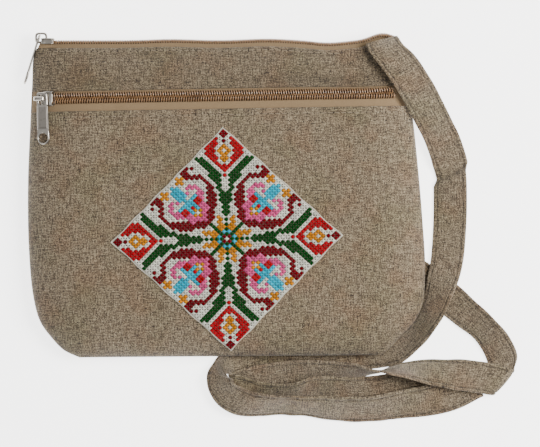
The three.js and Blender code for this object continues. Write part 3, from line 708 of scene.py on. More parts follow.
def back_surface(u, v):
    """seam * (1 - rolls), lifted to a shallow channel where the strap passes under the pouch."""
    x, y, rise = plan(u, v, BACK_ROLL)
    seam = seam_height(v) - SEAM_HALF_GAP
    ahead = unit(np.subtract(UNDER_TO[:2], UNDER_FROM[:2]))
    off = np.abs((x - UNDER_FROM[0]) * ahead[1] - (y - UNDER_FROM[1]) * ahead[0])
    share = np.clip((off - CHANNEL_HALF) / CHANNEL_SLOPE, 0, 1)
    channel = CHANNEL_HEIGHT * (1 - share**2 * (3 - 2 * share))
    return np.stack([x, y, np.minimum(seam, np.hypot(seam * (1 - rise), channel))], -1)


def normals_of(surface, u, v):
    """Upward normals from points a small step away each way."""
    u, v = (np.clip(value, NORMAL_EDGE, 1 - NORMAL_EDGE) for value in (u, v))
    along = surface(u + NORMAL_STEP, v) - surface(u - NORMAL_STEP, v)
    up = surface(u, v + NORMAL_STEP) - surface(u, v - NORMAL_STEP)
    return unit(np.cross(along, up))


def on_front(u, v, offset):
    """Front surface moved out along its normal and kept above the seam."""
    u, v = np.broadcast_arrays(np.asarray(u, float), np.asarray(v, float))
    offset = np.broadcast_to(np.asarray(offset, float), u.shape)
    points = front_surface(u, v) + normals_of(front_surface, u, v) * offset[..., None]
    points[..., 2] = np.maximum(points[..., 2], seam_height(v) + SEAM_HALF_GAP)
    return points


def on_back(u, v, offset):
    """Back surface moved out, which is down, along its normal and kept below the seam."""
    offset = np.broadcast_to(np.asarray(offset, float), np.shape(u))
    points = back_surface(u, v) - normals_of(back_surface, u, v) * offset[..., None]
    points[..., 2] = np.minimum(points[..., 2], seam_height(v) - SEAM_HALF_GAP)
    return points


# %% [markdown]
# ## Linen panels
# The front is two panels with the pocket zip between them; the back is one. Each is a wall as thick as folded
# linen. Where a panel meets a zip its edge is turned under, so that rim is round; the other rims lie in the
# seam. The cloth is pulled into small puckers along the zip by its stitching.

# %% Panels
ZIP_LEFT_Y, ZIP_RIGHT_Y, ZIP_ABOVE, ZIP_BELOW, ZIP_TUCK = 52.2, 55.8, 4.6, -8.0, 4.5
CREST_PANEL, CREST_TUCK = 4.8, 4.0
PUCKER_HEIGHT, PUCKER_FADE = 0.16, 4.5
# the level fold of the upper panel: x, y, reach across and reach up, then its shade
FOLD_PLACE, FOLD_SHADE = (50, 62.5, 40, 2.8), 0.32
BOTTOM_SHADE, BOTTOM_SHADE_REACH = 0.3, 3.0


def zip_v(u, distance):
    """The v at a distance above the middle of the pocket zip."""
    return height_to_v(u, mix(ZIP_LEFT_Y, ZIP_RIGHT_Y, u) + distance)


def crest_v(u, distance):
    """The v at a distance below the crest."""
    return height_to_v(u, top_edge(u) - distance)


def crowded(count, amount=0.82):
    """Steps from 0 to 1 that crowd towards both ends."""
    t = np.linspace(0, 1, count)
    return t - amount / (2 * np.pi) * np.sin(2 * np.pi * t)


def border(rows, columns):
    """Point numbers once round the border of a grid."""
    return np.concatenate([
        np.arange(columns), np.arange(1, rows) * columns + columns - 1,
        (rows - 1) * columns + np.arange(columns - 2, -1, -1), np.arange(rows - 2, 0, -1) * columns])


def shell(outer, inner, round_first=False, round_last=False):
    """A wall between two grids. A rim is flat, or half round at the first or last row."""
    rows, columns = outer.shape[:2]
    count = rows * columns
    quads = grid_quads(rows, columns)
    ring = border(rows, columns)
    away = np.zeros_like(outer)
    if round_first:
        away[0] = unit(outer[0] - outer[1])
    if round_last:
        away[-1] = unit(outer[-1] - outer[-2])
    top, low = outer.reshape(-1, 3)[ring], inner.reshape(-1, 3)[ring]
    middle, half = (top + low) / 2, (top - low) / 2
    push = away.reshape(-1, 3)[ring] * np.linalg.norm(half, axis=1, keepdims=True)
    angles = np.pi * np.arange(1, 4) / 4
    rings = [middle + half * np.cos(angle) + push * np.sin(angle) for angle in angles]
    numbers = [ring] + [2 * count + len(ring) * k + np.arange(len(ring)) for k in range(3)] + [ring + count]
    rims = [np.stack([np.roll(a, -1), a, b, np.roll(b, -1)], -1) for a, b in zip(numbers, numbers[1:])]
    points = np.concatenate([outer.reshape(-1, 3), inner.reshape(-1, 3)] + rings)
    return points, outward(points, [quads, quads[:, ::-1] + count] + rims)


def zip_pucker(u, distance):
    """Small ripples beside a zip seam that fade within a few millimetres."""
    ripple = np.sin(u * 160 + 2 * np.sin(u * 37))
    return PUCKER_HEIGHT * ripple * np.exp(-np.abs(distance) / PUCKER_FADE)


def front_panel(columns, rows, low, high, seam_at_low, seam_at_high):
    """Shell of the front between two heights given as functions of u."""
    u, t = np.meshgrid(columns, rows)
    v = mix(low(u), high(u), t)
    tall = (high(u) - low(u)) * (TOP - BOTTOM)
    ripple = zip_pucker(u, (1 - t) * tall) * seam_at_high + zip_pucker(u + 0.3, t * tall) * seam_at_low
    ripple *= np.clip(u * 12 - 1, 0, 1)
    outer = on_front(u, v, np.minimum(ripple, 0.1))
    return shell(outer, on_front(u, v, -LINEN_THICK), bool(seam_at_low), bool(seam_at_high))


def plan_uv(points):
    """Cloth place of points: their plan place."""
    return points[:, :2].copy()


def panel_shade(points):
    """Shade from 0 to 1: a soft fold under the top zip, and the lower edge that rolls under."""
    x, y = points[:, 0], points[:, 1]
    fold = FOLD_SHADE * bell(x, y, *FOLD_PLACE)
    return fold + BOTTOM_SHADE * np.exp(-np.maximum(y - BOTTOM, 0) / BOTTOM_SHADE_REACH)


def add_panel(name, body, finish, slot, node):
    """A sewn cloth panel."""
    points, faces = body
    marks = {"shade": panel_shade(points)}
    piece = make_piece(name, points, faces, finish, plan_uv(points), marks, sharp=70)
    settle(piece, "bag", slot, node)
    return piece


lower_body = front_panel(crowded(190), crowded(120, 0.7), lambda u: 0 * u,
                         lambda u: zip_v(u, ZIP_BELOW), 0, 1)
upper_body = front_panel(crowded(190), np.linspace(0, 1, 34), lambda u: zip_v(u, ZIP_ABOVE),
                         lambda u: crest_v(u, CREST_PANEL), 1, 0.6)
back_u, back_t = np.meshgrid(crowded(120), crowded(100))
back_v = back_t * crest_v(back_u, CREST_PANEL)
back_body = shell(on_back(back_u, back_v, 0.0), on_back(back_u, back_v, -LINEN_THICK), round_last=True)

add_panel("front_panel_lower_cloth", lower_body, LINEN, "front_linen", "front_panel_lower")
add_panel("front_panel_upper_cloth", upper_body, SHADED_UPPER_LINEN, "upper_linen", "front_panel_upper")
add_panel("back_panel_cloth", back_body, LINEN, "back_linen", "back_panel")

# %% [markdown]
# ## Zip tapes
# A zip is two woven tapes with a coil along the inner edge of each. The tapes are tucked under the linen, so
# only a narrow band shows on either side of the coil. They follow the front a linen's thickness deeper.

# %% Tapes
HALF_SPLIT, TAPE_INSET, TAPE_END_RISE = 0.2, 0.002, 0.03
CREST_FOLD_FRONT, CREST_FOLD_BACK = 1.0, 1.1


def tape_strip(on_surface, low, high, lift=0.0):
    """A tape under a surface between two v, each a function of u. It rises into the side seams at its ends,
    and lift brings its upper half outward."""
    u, t = np.meshgrid(np.linspace(TAPE_INSET, 1 - TAPE_INSET, 150), np.linspace(0, 1, 13))
    v = mix(low(u), high(u), t)
    depth = TAPE_OFFSET * np.clip(np.minimum(u, 1 - u) / TAPE_END_RISE, 0.15, 1)
    offset = depth + lift * np.clip(t * 2 - 1, 0, 1) ** 1.5
    return shell(on_surface(u, v, offset), on_surface(u, v, offset - TAPE_THICK), round_last=True)


def tuck_v(u):
    """Lower v of the top zip's tapes, hidden behind the linen."""
    return crest_v(u, CREST_PANEL + CREST_TUCK)


TAPES = (
    ("front_zip_tape_lower", "front_tape", tape_strip(
        on_front, lambda u: zip_v(u, ZIP_BELOW - ZIP_TUCK), lambda u: zip_v(u, -HALF_SPLIT))),
    ("front_zip_tape_upper", "front_tape", tape_strip(
        on_front, lambda u: zip_v(u, HALF_SPLIT), lambda u: zip_v(u, ZIP_ABOVE + ZIP_TUCK))),
    ("top_zip_tape_front", "top_tape", tape_strip(
        on_front, tuck_v, lambda u: crest_v(u, CREST_FOLD_FRONT), lift=1.1)),
    ("top_zip_tape_back", "top_tape", tape_strip(
        on_back, tuck_v, lambda u: crest_v(u, CREST_FOLD_BACK), lift=1.1)),
)
for tape_name, tape_slot, tape_body in TAPES:
    tape = make_piece(tape_name + "_cloth", *tape_body, TAPE, plan_uv(tape_body[0]))
    settle(tape, "bag", tape_slot, tape_name)

# %% [markdown]
# ## Zip coils
# Each coil is one nylon thread wound into a row of loops. A loop comes up from the tape, bends over and ends
# in a head that locks between two heads of the other side, so the two rows are half a step apart. One helper
# makes many short round threads at once; it serves the coils here, and later the sewing and cross stitches.

# %% Round threads and coils
COIL_WIDTH, COIL_HEIGHT, COIL_PITCH = 5.8, 2.2, 1.35
FRONT_COIL = (0.0545, 0.955)
TOP_COIL = (0.0245, 0.985)
# how far the dark core reaches across, and its top and bottom above the tape in mm; it is the cord inside the
# coil, and where it shows between the loops and past their feet it is painted shade
CORE_AND_SHADE_REACH, CORE_TOP, CORE_LOW = 1.02, 0.5, 0.12
# across (1 at the tape, 0 in the middle), height and slant of a loop's stations, and its radius in mm
LOOP = np.array((
    (1.0, 0.05, 0.0, 0.26), (0.97, 0.4, 0.0, 0.3), (0.8, 0.76, 0.06, 0.36), (0.52, 0.9, 0.16, 0.38),
    (0.22, 0.58, 0.26, 0.34), (-0.02, 0.34, 0.32, 0.34), (-0.1, 0.2, 0.34, 0.2),
))


def round_threads(paths, ups, radii, sides=6, flat=1.0):
    """Round threads along paths (n, k, 3): circles of each station's radius across the path, ends closed.
    Ups are the directions that count as upward, (n, 3); flat squashes the circle that way."""
    count, stations = paths.shape[:2]
    forward = unit(np.gradient(paths, axis=1))
    beside = unit(np.cross(forward, np.broadcast_to(ups[:, None], forward.shape)))
    over = np.cross(beside, forward)
    angle = np.arange(sides) * 2 * np.pi / sides
    radii = np.broadcast_to(radii, (count, stations))[..., None, None]
    circle = beside[:, :, None] * np.cos(angle)[:, None] + over[:, :, None] * (np.sin(angle) * flat)[:, None]
    points = (paths[:, :, None] + circle * radii).reshape(-1, 3)
    starts = (np.arange(count) * stations * sides)[:, None, None]
    quads = (grid_quads(stations, sides, wrap_columns=True)[None] + starts).reshape(-1, 4)
    first = np.arange(sides)[None, ::-1] + starts[:, 0]
    last = np.arange(sides)[None] + (stations - 1) * sides + starts[:, 0]
    return points, outward(points, [quads, first, last])


def even_places(line, pitch, start=0.5):
    """Shares along a dense line at an even pitch, from half a pitch in."""
    length = lengths_along(line)
    wanted = np.arange(start * pitch, length[-1], pitch)
    return np.interp(wanted, length, np.linspace(0, 1, len(line)))


def coil(reach, place, up):
    """Two rows of loops from place(u, across, height), sizes in mm, half a pitch apart."""
    dense = place(np.linspace(*reach, 400), np.zeros(400), np.zeros(400))
    rows = []
    for side, start in ((1, 0.25), (-1, 0.75)):
        u = mix(reach[0], reach[1], even_places(dense, COIL_PITCH, start))[:, None]
        slant = LOOP[:, 2] * COIL_PITCH * (reach[1] - reach[0]) / np.linalg.norm(dense[-1] - dense[0])
        across = np.broadcast_to(LOOP[:, 0] * side * COIL_WIDTH / 2, (len(u), len(LOOP)))
        height = np.broadcast_to(LOOP[:, 1] * COIL_HEIGHT, across.shape)
        paths = place(u + slant, across, height)
        rows.append(round_threads(paths, up(u[:, 0]), LOOP[:, 3], sides=7))
    return join_bodies(rows)


def front_coil_place(u, across, height):
    """On the pocket zip: across is up the pouch and height is out of the tape."""
    return on_front(u, zip_v(u, across), TAPE_OFFSET + 0.1 + height)


def top_coil_place(u, across, height):
    """On the crest: across is through the pouch and height is up it."""
    x, _, _ = plan(u, np.ones_like(u), FRONT_ROLL)
    x, y = np.broadcast_arrays(x, top_edge(u))
    return np.stack([x + 0 * across, y - COIL_HEIGHT + height, seam_height(1.0) + across], -1)


def make_nylon():
    """Brown moulded nylon: glossy, a little darker in patches."""
    material, tree, inputs = new_material("brown nylon coil", 0.28, Specular_IOR_Level=0.7)
    place = add_node(tree, "ShaderNodeTexCoord").outputs["Object"]
    darker = blotches(tree, place, 3, 0.5)
    tree.links.new(mixed(tree, darker, srgb("866544"), srgb("5f432b")), inputs["Base Color"])
    return material


def core_and_shade_strip(reach, place):
    """The cord that fills a coil: a low dark strip under the loops, wide enough to show at their feet as
    painted shade.
    """
    u, side = np.meshgrid(np.linspace(*reach, 160), np.linspace(-CORE_AND_SHADE_REACH, CORE_AND_SHADE_REACH, 7))
    across = side * COIL_WIDTH / 2
    return shell(place(u, across, np.full_like(u, CORE_TOP)), place(u, across, np.full_like(u, CORE_LOW)))


def plain_material(name, colour, roughness):
    """One plain colour."""
    material, _, inputs = new_material(name, roughness)
    inputs["Base Color"].default_value = srgb(colour)
    return material


NYLON = make_nylon()
# the core's dark colour: the cord inside the coil, and painted shade between the loops and at the coil's
# edges
CORE_AND_SHADE = plain_material("coil core and shade", "24150b", 0.85)
front_coil = coil(FRONT_COIL, front_coil_place, lambda u: normals_of(front_surface, u, zip_v(u, 0.0)))
top_coil = coil(TOP_COIL, top_coil_place, lambda u: np.tile((0.0, 1.0, 0.0), (len(u), 1)))
settle(make_piece("front_zip_coil", *front_coil, NYLON), "bag", "front_coil", "front_zip_chain")
settle(make_piece("top_zip_coil", *top_coil, NYLON), "bag", "top_coil", "top_zip_chain")
settle(make_piece("front_zip_core_and_shade", *core_and_shade_strip(FRONT_COIL, front_coil_place), CORE_AND_SHADE), "bag", "front_coil")
settle(make_piece("top_zip_core_and_shade", *core_and_shade_strip(TOP_COIL, top_coil_place), CORE_AND_SHADE), "bag", "top_coil")

# %% [markdown]
# ## Sewing along the zips
# A row of machine stitches holds each linen edge to its tape. A stitch is a short thread that comes up
# through the cloth and goes down again, leaving a small hole at its end; a dark disc paints the shade in that
# hole.

# %% Machine stitches
STITCH_PITCH, STITCH_LENGTH, STITCH_RADIUS = 3.6, 2.9, 0.2
# dark discs of painted shade in the needle hole at each stitch's end: their radii and how deep they sit
HOLE_RADII, HOLE_DEPTH = np.array((0.25, 0.5, 0.5, 0.25)), 0.3
# how far each row lies in from its linen edge in mm, and the u where it starts and ends
POCKET_SEW_IN, POCKET_SEW_REACH = 2.6, (0.075, 0.965)
CREST_SEW_IN, CREST_SEW_REACH = 1.6, (0.03, 0.84)


def add_stitch_row(name, v_of, reach, slot):
    """Stitches and the painted shade at their ends along a row of the front: its v as a function of u, first
    and last u.
    """
    dense_u = np.linspace(*reach, 500)
    dense = on_front(dense_u, v_of(dense_u), 0.0)
    u = mix(*reach, even_places(dense, STITCH_PITCH))[:, None]
    step = STITCH_LENGTH / lengths_along(dense)[-1] * (reach[1] - reach[0])
    share = np.linspace(-0.5, 0.5, 6)
    along = u + share * step
    bow = 0.16 - 0.5 * np.abs(share * 2) ** 4
    ups = normals_of(front_surface, u[:, 0], v_of(u[:, 0]))
    threads = round_threads(on_front(along, v_of(along), bow), ups, STITCH_RADIUS)
    at = u + step * (0.5 + np.linspace(-0.02, 0.26, 4))
    hole_shade = round_threads(on_front(at, v_of(at), -HOLE_DEPTH), ups, HOLE_RADII)
    settle(make_piece(name + "_thread", *threads, SEWING_THREAD), "bag", slot)
    settle(make_piece(name + "_hole_shade", *hole_shade, HOLE_SHADE), "bag", slot)


SEWING_THREAD = plain_material("sewing thread", "80735f", 0.8)
# needle hole colour: painted shade, a dark disc where each stitch goes into the cloth
HOLE_SHADE = plain_material("needle hole shade", "1c140e", 0.95)
add_stitch_row("pocket_edge_stitch", lambda u: zip_v(u, ZIP_BELOW - POCKET_SEW_IN),
               POCKET_SEW_REACH, "front_linen")
add_stitch_row("crest_edge_stitch", lambda u: crest_v(u, CREST_PANEL + CREST_SEW_IN),
               CREST_SEW_REACH, "upper_linen")

# %% [markdown]
# ## Sliders and pulls
# Both sliders are cast metal with an aged nickel finish: bright on worn rims, dark in recesses. Two forms
# make up most of them. A frame carries a small bevelled section round between an inner and an outer outline.
# A pillow is a plate whose edge is rounded by rings of different sizes.

# %% Metal finish and metal forms


def make_nickel():
    """Aged nickel: darker and duller where the piece's own recess value is high and in soft blotches."""
    material, tree, inputs = new_material("aged nickel", 0.3, Metallic=1.0)
    place = add_node(tree, "ShaderNodeTexCoord").outputs["Object"]
    tarnish = blotches(tree, place, 2.2, 0.45)
    recess = add_node(tree, "ShaderNodeAttribute", attribute_name="recess").outputs["Fac"]
    colour = mixed(tree, calculate(tree, "MULTIPLY", tarnish, 0.35), srgb("a7a198"), srgb("756d63"))
    tree.links.new(mixed(tree, recess, colour, srgb("4a413a")), inputs["Base Color"])
    rough = calculate(tree, "ADD", calculate(tree, "MULTIPLY", tarnish, 0.15), 0.28)
    rough = calculate(tree, "ADD", rough, calculate(tree, "MULTIPLY", recess, 0.2))
    tree.links.new(rough, inputs["Roughness"])
    return material


def oval(half_x, half_y, power, count=56):
    """A rounded rectangle or oval: |x / half_x| ^ power + |y / half_y| ^ power = 1, at even angles."""
    angle = np.arange(count) * 2 * np.pi / count
    cos, sin = np.cos(angle), np.sin(angle)
    radius = (np.abs(cos / half_x) ** power + np.abs(sin / half_y) ** power) ** (-1 / power)
    return np.stack([radius * cos, radius * sin], -1)


def frame_body(outer, inner, low, high, bevel):
    """A flat frame between two outlines of as many points, its four edges bevelled."""
    gap = np.linalg.norm(inner - outer, axis=1, keepdims=True)
    in_step = np.minimum(bevel / gap, 0.45)
    stations = ((0 * gap, low + bevel), (0 * gap, high - bevel), (in_step, high), (1 - in_step, high),
                (1 + 0 * gap, high - bevel), (1 + 0 * gap, low + bevel), (1 - in_step, low), (in_step, low))
    rings = [np.concatenate([mix(outer, inner, share), np.full_like(gap, z)], 1) for share, z in stations]
    points = np.stack(rings).reshape(-1, 3)
    return points, outward(points, [grid_quads(len(stations), len(outer), wrap_rows=True, wrap_columns=True)])


def pillow_body(outline, low, high, bevel):
    """A flat plate with rounded edges: rings from the middle of its underside, round the rim, to its top."""
    stations = ((0.5, low), (1 - bevel * 0.3, low), (1, low + bevel), (1, high - bevel),
                (1 - bevel * 0.12, high - bevel * 0.3), (1 - bevel * 0.3, high), (0.5, high + 0.12))
    rings = [np.concatenate([outline * share, np.full((len(outline), 1), z)], 1) for share, z in stations]
    middle = np.array([(0, 0, low), (0, 0, high + 0.15)])
    points = np.concatenate(rings + [middle])
    count = len(outline)
    ring = np.arange(count)
    first = np.stack([np.roll(ring, -1), ring, np.full(count, len(points) - 2)], -1)
    top = ring + count * (len(stations) - 1)
    last = np.stack([top, np.roll(top, -1), np.full(count, len(points) - 1)], -1)
    return points, outward(points, [grid_quads(len(stations), count, wrap_columns=True), first, last])


def moved(body, shift):
    """The same body shifted."""
    return body[0] + np.array(shift, float), body[1]


# %% [markdown]
# A pull is a flat plate with an eye for the slider's bail, a sunken middle and a ring at its end. It is made
# in its own plane with the hinge axis at the origin, and is put in place later.

# %% The pull
PULL_HALF, PULL_LENGTH, PULL_HALF_THICK, PULL_RAIL = 3.4, 28.4, 0.5, 0.6
PULL_RIM, PULL_RIM_DROP, SUNK_IN, SUNK_DEPTH, SUNK_SHADE = 0.35, 0.2, 0.75, 0.3, 0.35
RING_HOLE = (2.55, 2.75)
# widths of the pull at its ring and at its eye, as shares of PULL_HALF
RING_FLARE, EYE_FLARE = 1.1, 0.96


def panel_body(low_y, high_y):
    """The plate between eye and ring: flat at its two rails and sunken between them."""
    x, y = np.meshgrid(np.linspace(-PULL_HALF, PULL_HALF, 41), np.linspace(low_y, high_y, 25))
    half_thick = PULL_HALF_THICK - PULL_RIM_DROP * (1 - roll(PULL_HALF - np.abs(x), PULL_RIM))
    end = np.minimum(y - low_y, high_y - y)
    sunk = np.clip((PULL_HALF - SUNK_IN - np.abs(x)) / 0.3, 0, 1) * np.clip((end - 0.5) / 0.5, 0, 1)
    top = np.stack([x, y, half_thick - SUNK_DEPTH * sunk], -1)
    return shell(top, np.stack([x, y, -half_thick], -1)), sunk


def pull_body(middle, top_end, eye_middle, eye_half):
    """The whole pull in its own plane, axis at the origin and ring end towards -y, with its recess values."""
    ring_y = top_end - PULL_LENGTH + PULL_HALF
    ring_outer = oval(PULL_HALF, PULL_HALF, 2.0)
    upper = ring_outer[:, 1] > 0
    square = oval(PULL_HALF, PULL_HALF + 1.6, 9.0)
    ring_outer = np.where(upper[:, None], square, ring_outer * (1.0, 1.06))
    ring_inner = oval(*RING_HOLE, 2.0)
    thick = (-PULL_HALF_THICK, PULL_HALF_THICK)
    ring = moved(frame_body(ring_outer, ring_inner, *thick, 0.22), (middle, ring_y, 0))
    frame_half = (top_end - (eye_middle[1] - eye_half[1] - 1.1)) / 2
    eye_centre = top_end - frame_half
    eye_outer = oval(PULL_HALF, frame_half, 7.0) + (middle, eye_centre)
    eye_inner = oval(eye_half[0], eye_half[1], 3.2) + eye_middle
    eye = frame_body(eye_outer, eye_inner, *thick, 0.2)
    panel, sunk = panel_body(ring_y + PULL_HALF + 1.2, eye_centre - frame_half + 0.5)
    panel = moved(panel, (middle, 0, 0))
    recess = np.zeros(len(panel[0]))
    recess[:sunk.size] = sunk.ravel() * SUNK_SHADE
    points, faces = join_bodies([ring, eye, panel])
    flare = mix(RING_FLARE, EYE_FLARE, np.clip((points[:, 1] - ring_y) / (top_end - ring_y), 0, 1))
    points[:, 0] = middle + (points[:, 0] - middle) * flare
    return points, faces, np.concatenate([np.zeros(len(ring[0]) + len(eye[0])), recess])


# %% [markdown]
# A slider is two plates with the zip running between them, joined by a neck at the nose and turned-in rails
# at the sides. The bail on top is a loop of wire that the pull hangs from.

# %% The slider
SLIDER_NOSE, SLIDER_LENGTH, SLIDER_HALF, SLIDER_HEIGHT = 0.9, 7.5, 4.1, 3.4
PIVOT_HEIGHT = 4.5
# left, right, bottom and top of the bail's loop, and its wire
BAIL_LEFT, BAIL_RIGHT, BAIL_BOTTOM, BAIL_TOP, BAIL_WIRE = -2.4, 4.4, 0.6, 6.6, 1.1


def slider_body():
    """Two rounded plates on a neck with the zip between them, and a bail loop over the nose."""
    middle = SLIDER_NOSE + SLIDER_LENGTH / 2
    outline = oval(SLIDER_LENGTH / 2, SLIDER_HALF, 4.0)
    taper = 1 - 0.16 * np.clip(-outline[:, :1] / (SLIDER_LENGTH / 2), 0, 1) * (0.0, 1.0)
    plates = [moved(pillow_body(outline * taper, low, high, 0.3), (middle, 0, 0))
              for low, high in ((0.0, 0.5), (2.5, SLIDER_HEIGHT))]
    neck = moved(pillow_body(oval(1.2, SLIDER_HALF - 0.7, 4.0), 0.4, 2.6, 0.1), (SLIDER_NOSE + 1.4, 0, 0))
    rail = pillow_body(oval(SLIDER_LENGTH / 2 - 1.0, 0.45, 6.0), 0.4, 2.6, 0.1)
    rails = [moved(rail, (middle + 0.5, side, 0)) for side in (0.55 - SLIDER_HALF, SLIDER_HALF - 0.55)]
    half_x, half_z = (BAIL_RIGHT - BAIL_LEFT) / 2, (BAIL_TOP - BAIL_BOTTOM) / 2
    outer = oval(half_x, half_z, 3.6)
    inner = oval(half_x - BAIL_WIRE, half_z - BAIL_WIRE, 3.6)
    points, faces = frame_body(outer, inner, -1.1, 1.1, 0.35)
    points = points[:, [0, 2, 1]] * (1, -1, 1) + (BAIL_LEFT + half_x, 0, BAIL_BOTTOM + half_z)
    return join_bodies(plates + rails + [neck, (points, faces)])


def placed(points, origin, x_axis, y_axis):
    """Points of a piece's own frame put in place."""
    axes = np.stack([x_axis, y_axis, np.cross(x_axis, y_axis)])
    return points @ axes + origin


# %% [markdown]
# The pocket zip's slider stands on the rolled front, so its axes are tilted, and its pull lies down the
# panel. The top zip's slider stands on the crest and its pull lies beside the corner. The frame says where
# each pull's hinge is: the front pull swings on its long side like a page, the top pull on its short end.

# %% Metal in place
# heading and rise in degrees: the pocket zip where its slider stands, the top pull from ring to eye
FRONT_SLIDER_AIM, TOP_PULL_AIM = (0.572, 28.142), (72.0, 12.0)
TOP_X, TOP_Z = np.array((1.0, 0.0, 0.0)), np.array((0.0, 1.0, 0.0))
NICKEL = make_nickel()


def hinge_of(body):
    """Place in mm and direction of the hinge that a body swings on, from the frame."""
    joint = next(joint for joint in frame["joints"] if joint["child"] == body)
    return np.array(joint["pos_m"]) / MM, unit(np.array(joint["axis"]))


def add_zip_metal(name, pivot, x_axis, z_axis, pull_axes, pull):
    """A slider standing along z with its bail round the pivot, and the pull that swings there."""
    points, faces = slider_body()
    place = placed(points, pivot - z_axis * PIVOT_HEIGHT, x_axis, np.cross(z_axis, x_axis))
    marks = {"recess": np.zeros(len(points))}
    slider = make_piece(name + "_zip_slider_metal", place, faces, NICKEL, marks=marks, sharp=40)
    settle(slider, "bag", "slider_metal", name + "_zip_slider")
    points, faces, recess = pull
    place = placed(points, pivot, *pull_axes)
    puller = make_piece(name + "_zip_pull_metal", place, faces, NICKEL, marks={"recess": recess}, sharp=40)
    settle(puller, name + "_pull", "puller_metal", name + "_zip_puller")


# each pull: its middle across, its top end, and the middle and half sizes of its eye
front_pull = pull_body(PULL_HALF - PULL_RAIL, 3.4, (2.75, -0.6), (2.15, 2.8))
top_pull = pull_body(0.0, PULL_RAIL, (0.0, -2.9), (1.9, 2.3))
front_pivot, front_axis = hinge_of("front_pull")
top_pivot, top_axis = hinge_of("top_pull")
front_x = aim(*FRONT_SLIDER_AIM)
front_z = unit(np.cross(front_x, (0, 1, 0)))
add_zip_metal("front", front_pivot, front_x, front_z, (front_x, -front_axis), front_pull)
add_zip_metal("top", top_pivot, TOP_X, TOP_Z, (-top_axis, aim(*TOP_PULL_AIM)), top_pull)

# %% [markdown]
# ## The embroidered patch
# A square of even-weave canvas, covered with cross stitch, is sewn on as a diamond. The design has the
# fourfold symmetry of much folk embroidery: a chart of one eighth, turned and mirrored, gives all of it. Each
# stitch is two threads that cross; the second lies over the first.

# %% Canvas
PATCH_X, PATCH_Y, PATCH_SIDE, PATCH_SHORTEN, PATCH_TURN = 0.3, -24.6, 89.6, 0.966, np.radians(46.85)
# the last value is half the side, as a share, of the canvas that painted shade darkens under the stitches
CANVAS_LOW, CANVAS_HIGH, EDGE_WAVE, STITCH_SHADE_HALF = 0.12, 0.8, 0.25, 0.49


def surface_place(x, y):
    """The u, v of a plan place, found in a few rounds."""
    u, v = np.full_like(x, 0.5), np.full_like(x, 0.5)
    for _ in range(6):
        left, right = sides_at(v)
        u = (x - left) / (right - left)
        v = height_to_v(u, y)
    return u, v


def on_patch(along, across, offset):
    """A place of the patch, in mm from its middle along its sides, at an offset above the linen."""
    x = PATCH_X + along * np.cos(PATCH_TURN) - across * np.sin(PATCH_TURN)
    y = PATCH_Y + PATCH_SHORTEN * (along * np.sin(PATCH_TURN) + across * np.cos(PATCH_TURN))
    return on_front(*surface_place(x, y), offset)


def add_canvas():
    """The canvas under the stitches, with a slightly wavy cut edge, darkened by painted shade where the
    stitches cover it.
    """
    a, b = np.meshgrid(np.linspace(-0.5, 0.5, 92), np.linspace(-0.5, 0.5, 92))
    along = a * PATCH_SIDE + EDGE_WAVE * np.sin(b * 29 - a * 7) * (np.abs(a) * 2) ** 30
    across = b * PATCH_SIDE + EDGE_WAVE * np.sin(a * 31 + b * 9) * (np.abs(b) * 2) ** 30
    body = shell(on_patch(along, across, CANVAS_HIGH), on_patch(along, across, CANVAS_LOW))
    finish = make_cloth("even-weave canvas", "8e897c", "cbc6b6", "dedacb", spacing=0.66, slub=0.7,
                        mark="covered")
    # painted shade: the canvas under the stitches is darkened, so the gaps between stitches read dark
    covered = np.zeros(len(body[0]))
    covered[:a.size] = (np.maximum(np.abs(a), np.abs(b)) < STITCH_SHADE_HALF).ravel()
    piece = make_piece("patch_canvas_cloth", *body, finish, plan_uv(body[0]), {"covered": covered})
    settle(piece, "bag", "patch_canvas", "embroidered_patch")
    return piece


# %% [markdown]
# The chart is read like a knitting pattern: a letter is a thread colour. Stitches of one colour make one
# mesh. Small random shifts, tones and girths keep the rows from looking printed. The lower thread of each
# cross is painted a little darker and the upper one a little lighter, as painted shade and light at the
# crossing.

# %% Chart and stitches
# One eighth of the design: row a lists the colours of b = 0 to a, counted in stitches from the middle
CHART = (
    "W", "MG", "GCG", "GYYG", "GYYWG", "GWYYWG", "GWWYWGG", "MMMWWWGG", "PMMMWWWGG", "PPMMMMWGGG",
    "YPPPMMMWGGW", "WYPPMMMMWGWW", "YCPPWMMMWGGWW", "RCRRPWMMMWGGWR", "CCRRPPWMMWGGGWR",
    "CCCCPPWWMWGGGWRR", "CWWWWPWWMWGGGWRWY", "CCPWPPWWMWWGGWRWYY", "CCWPPWWMMWWGGWRRWYW",
    "CCWWWWMMWWWGGWRRWYYY", "CCWYWMMWWWWGGWRRRWWWM", "CWYYYMMWMWWGGWRRRRRWWM", "WWWYWMMMWWWGWWWRRRRRWMM",
)
THREADS = {
    "W": ("white", "c8c8bb"),
    "M": ("burgundy", "640010"),
    "R": ("red", "9a0014"),
    "P": ("pink", "c84c80"),
    "G": ("green", "003a0c"),
    "Y": ("gold", "b87408"),
    "C": ("cyan", "00a2bc"),
}
HALF_STITCHES = len(CHART) - 1
STITCH_MARGIN = 0.6
STITCH_SIDE = (PATCH_SIDE - 2 * STITCH_MARGIN) / (2 * HALF_STITCHES + 1)
# half a thread's reach as a share of STITCH_SIDE, how deep its ends go, its radii and its flatness
CROSS_REACH, CROSS_SINK, CROSS_FLAT = 0.47, 0.25, 0.8
CROSS_RADII = np.array((0.23, 0.38, 0.43, 0.38, 0.23))
# slant and height of the lower and the upper thread; the height also sets a little painted shade on each
# thread
CROSS_LAYERS = ((1, 0.55), (-1, 0.82))
# darkest and lightest tone of a thread, as shares of its colour
DARK_TONE, LIGHT_TONE = 0.62, 1.12


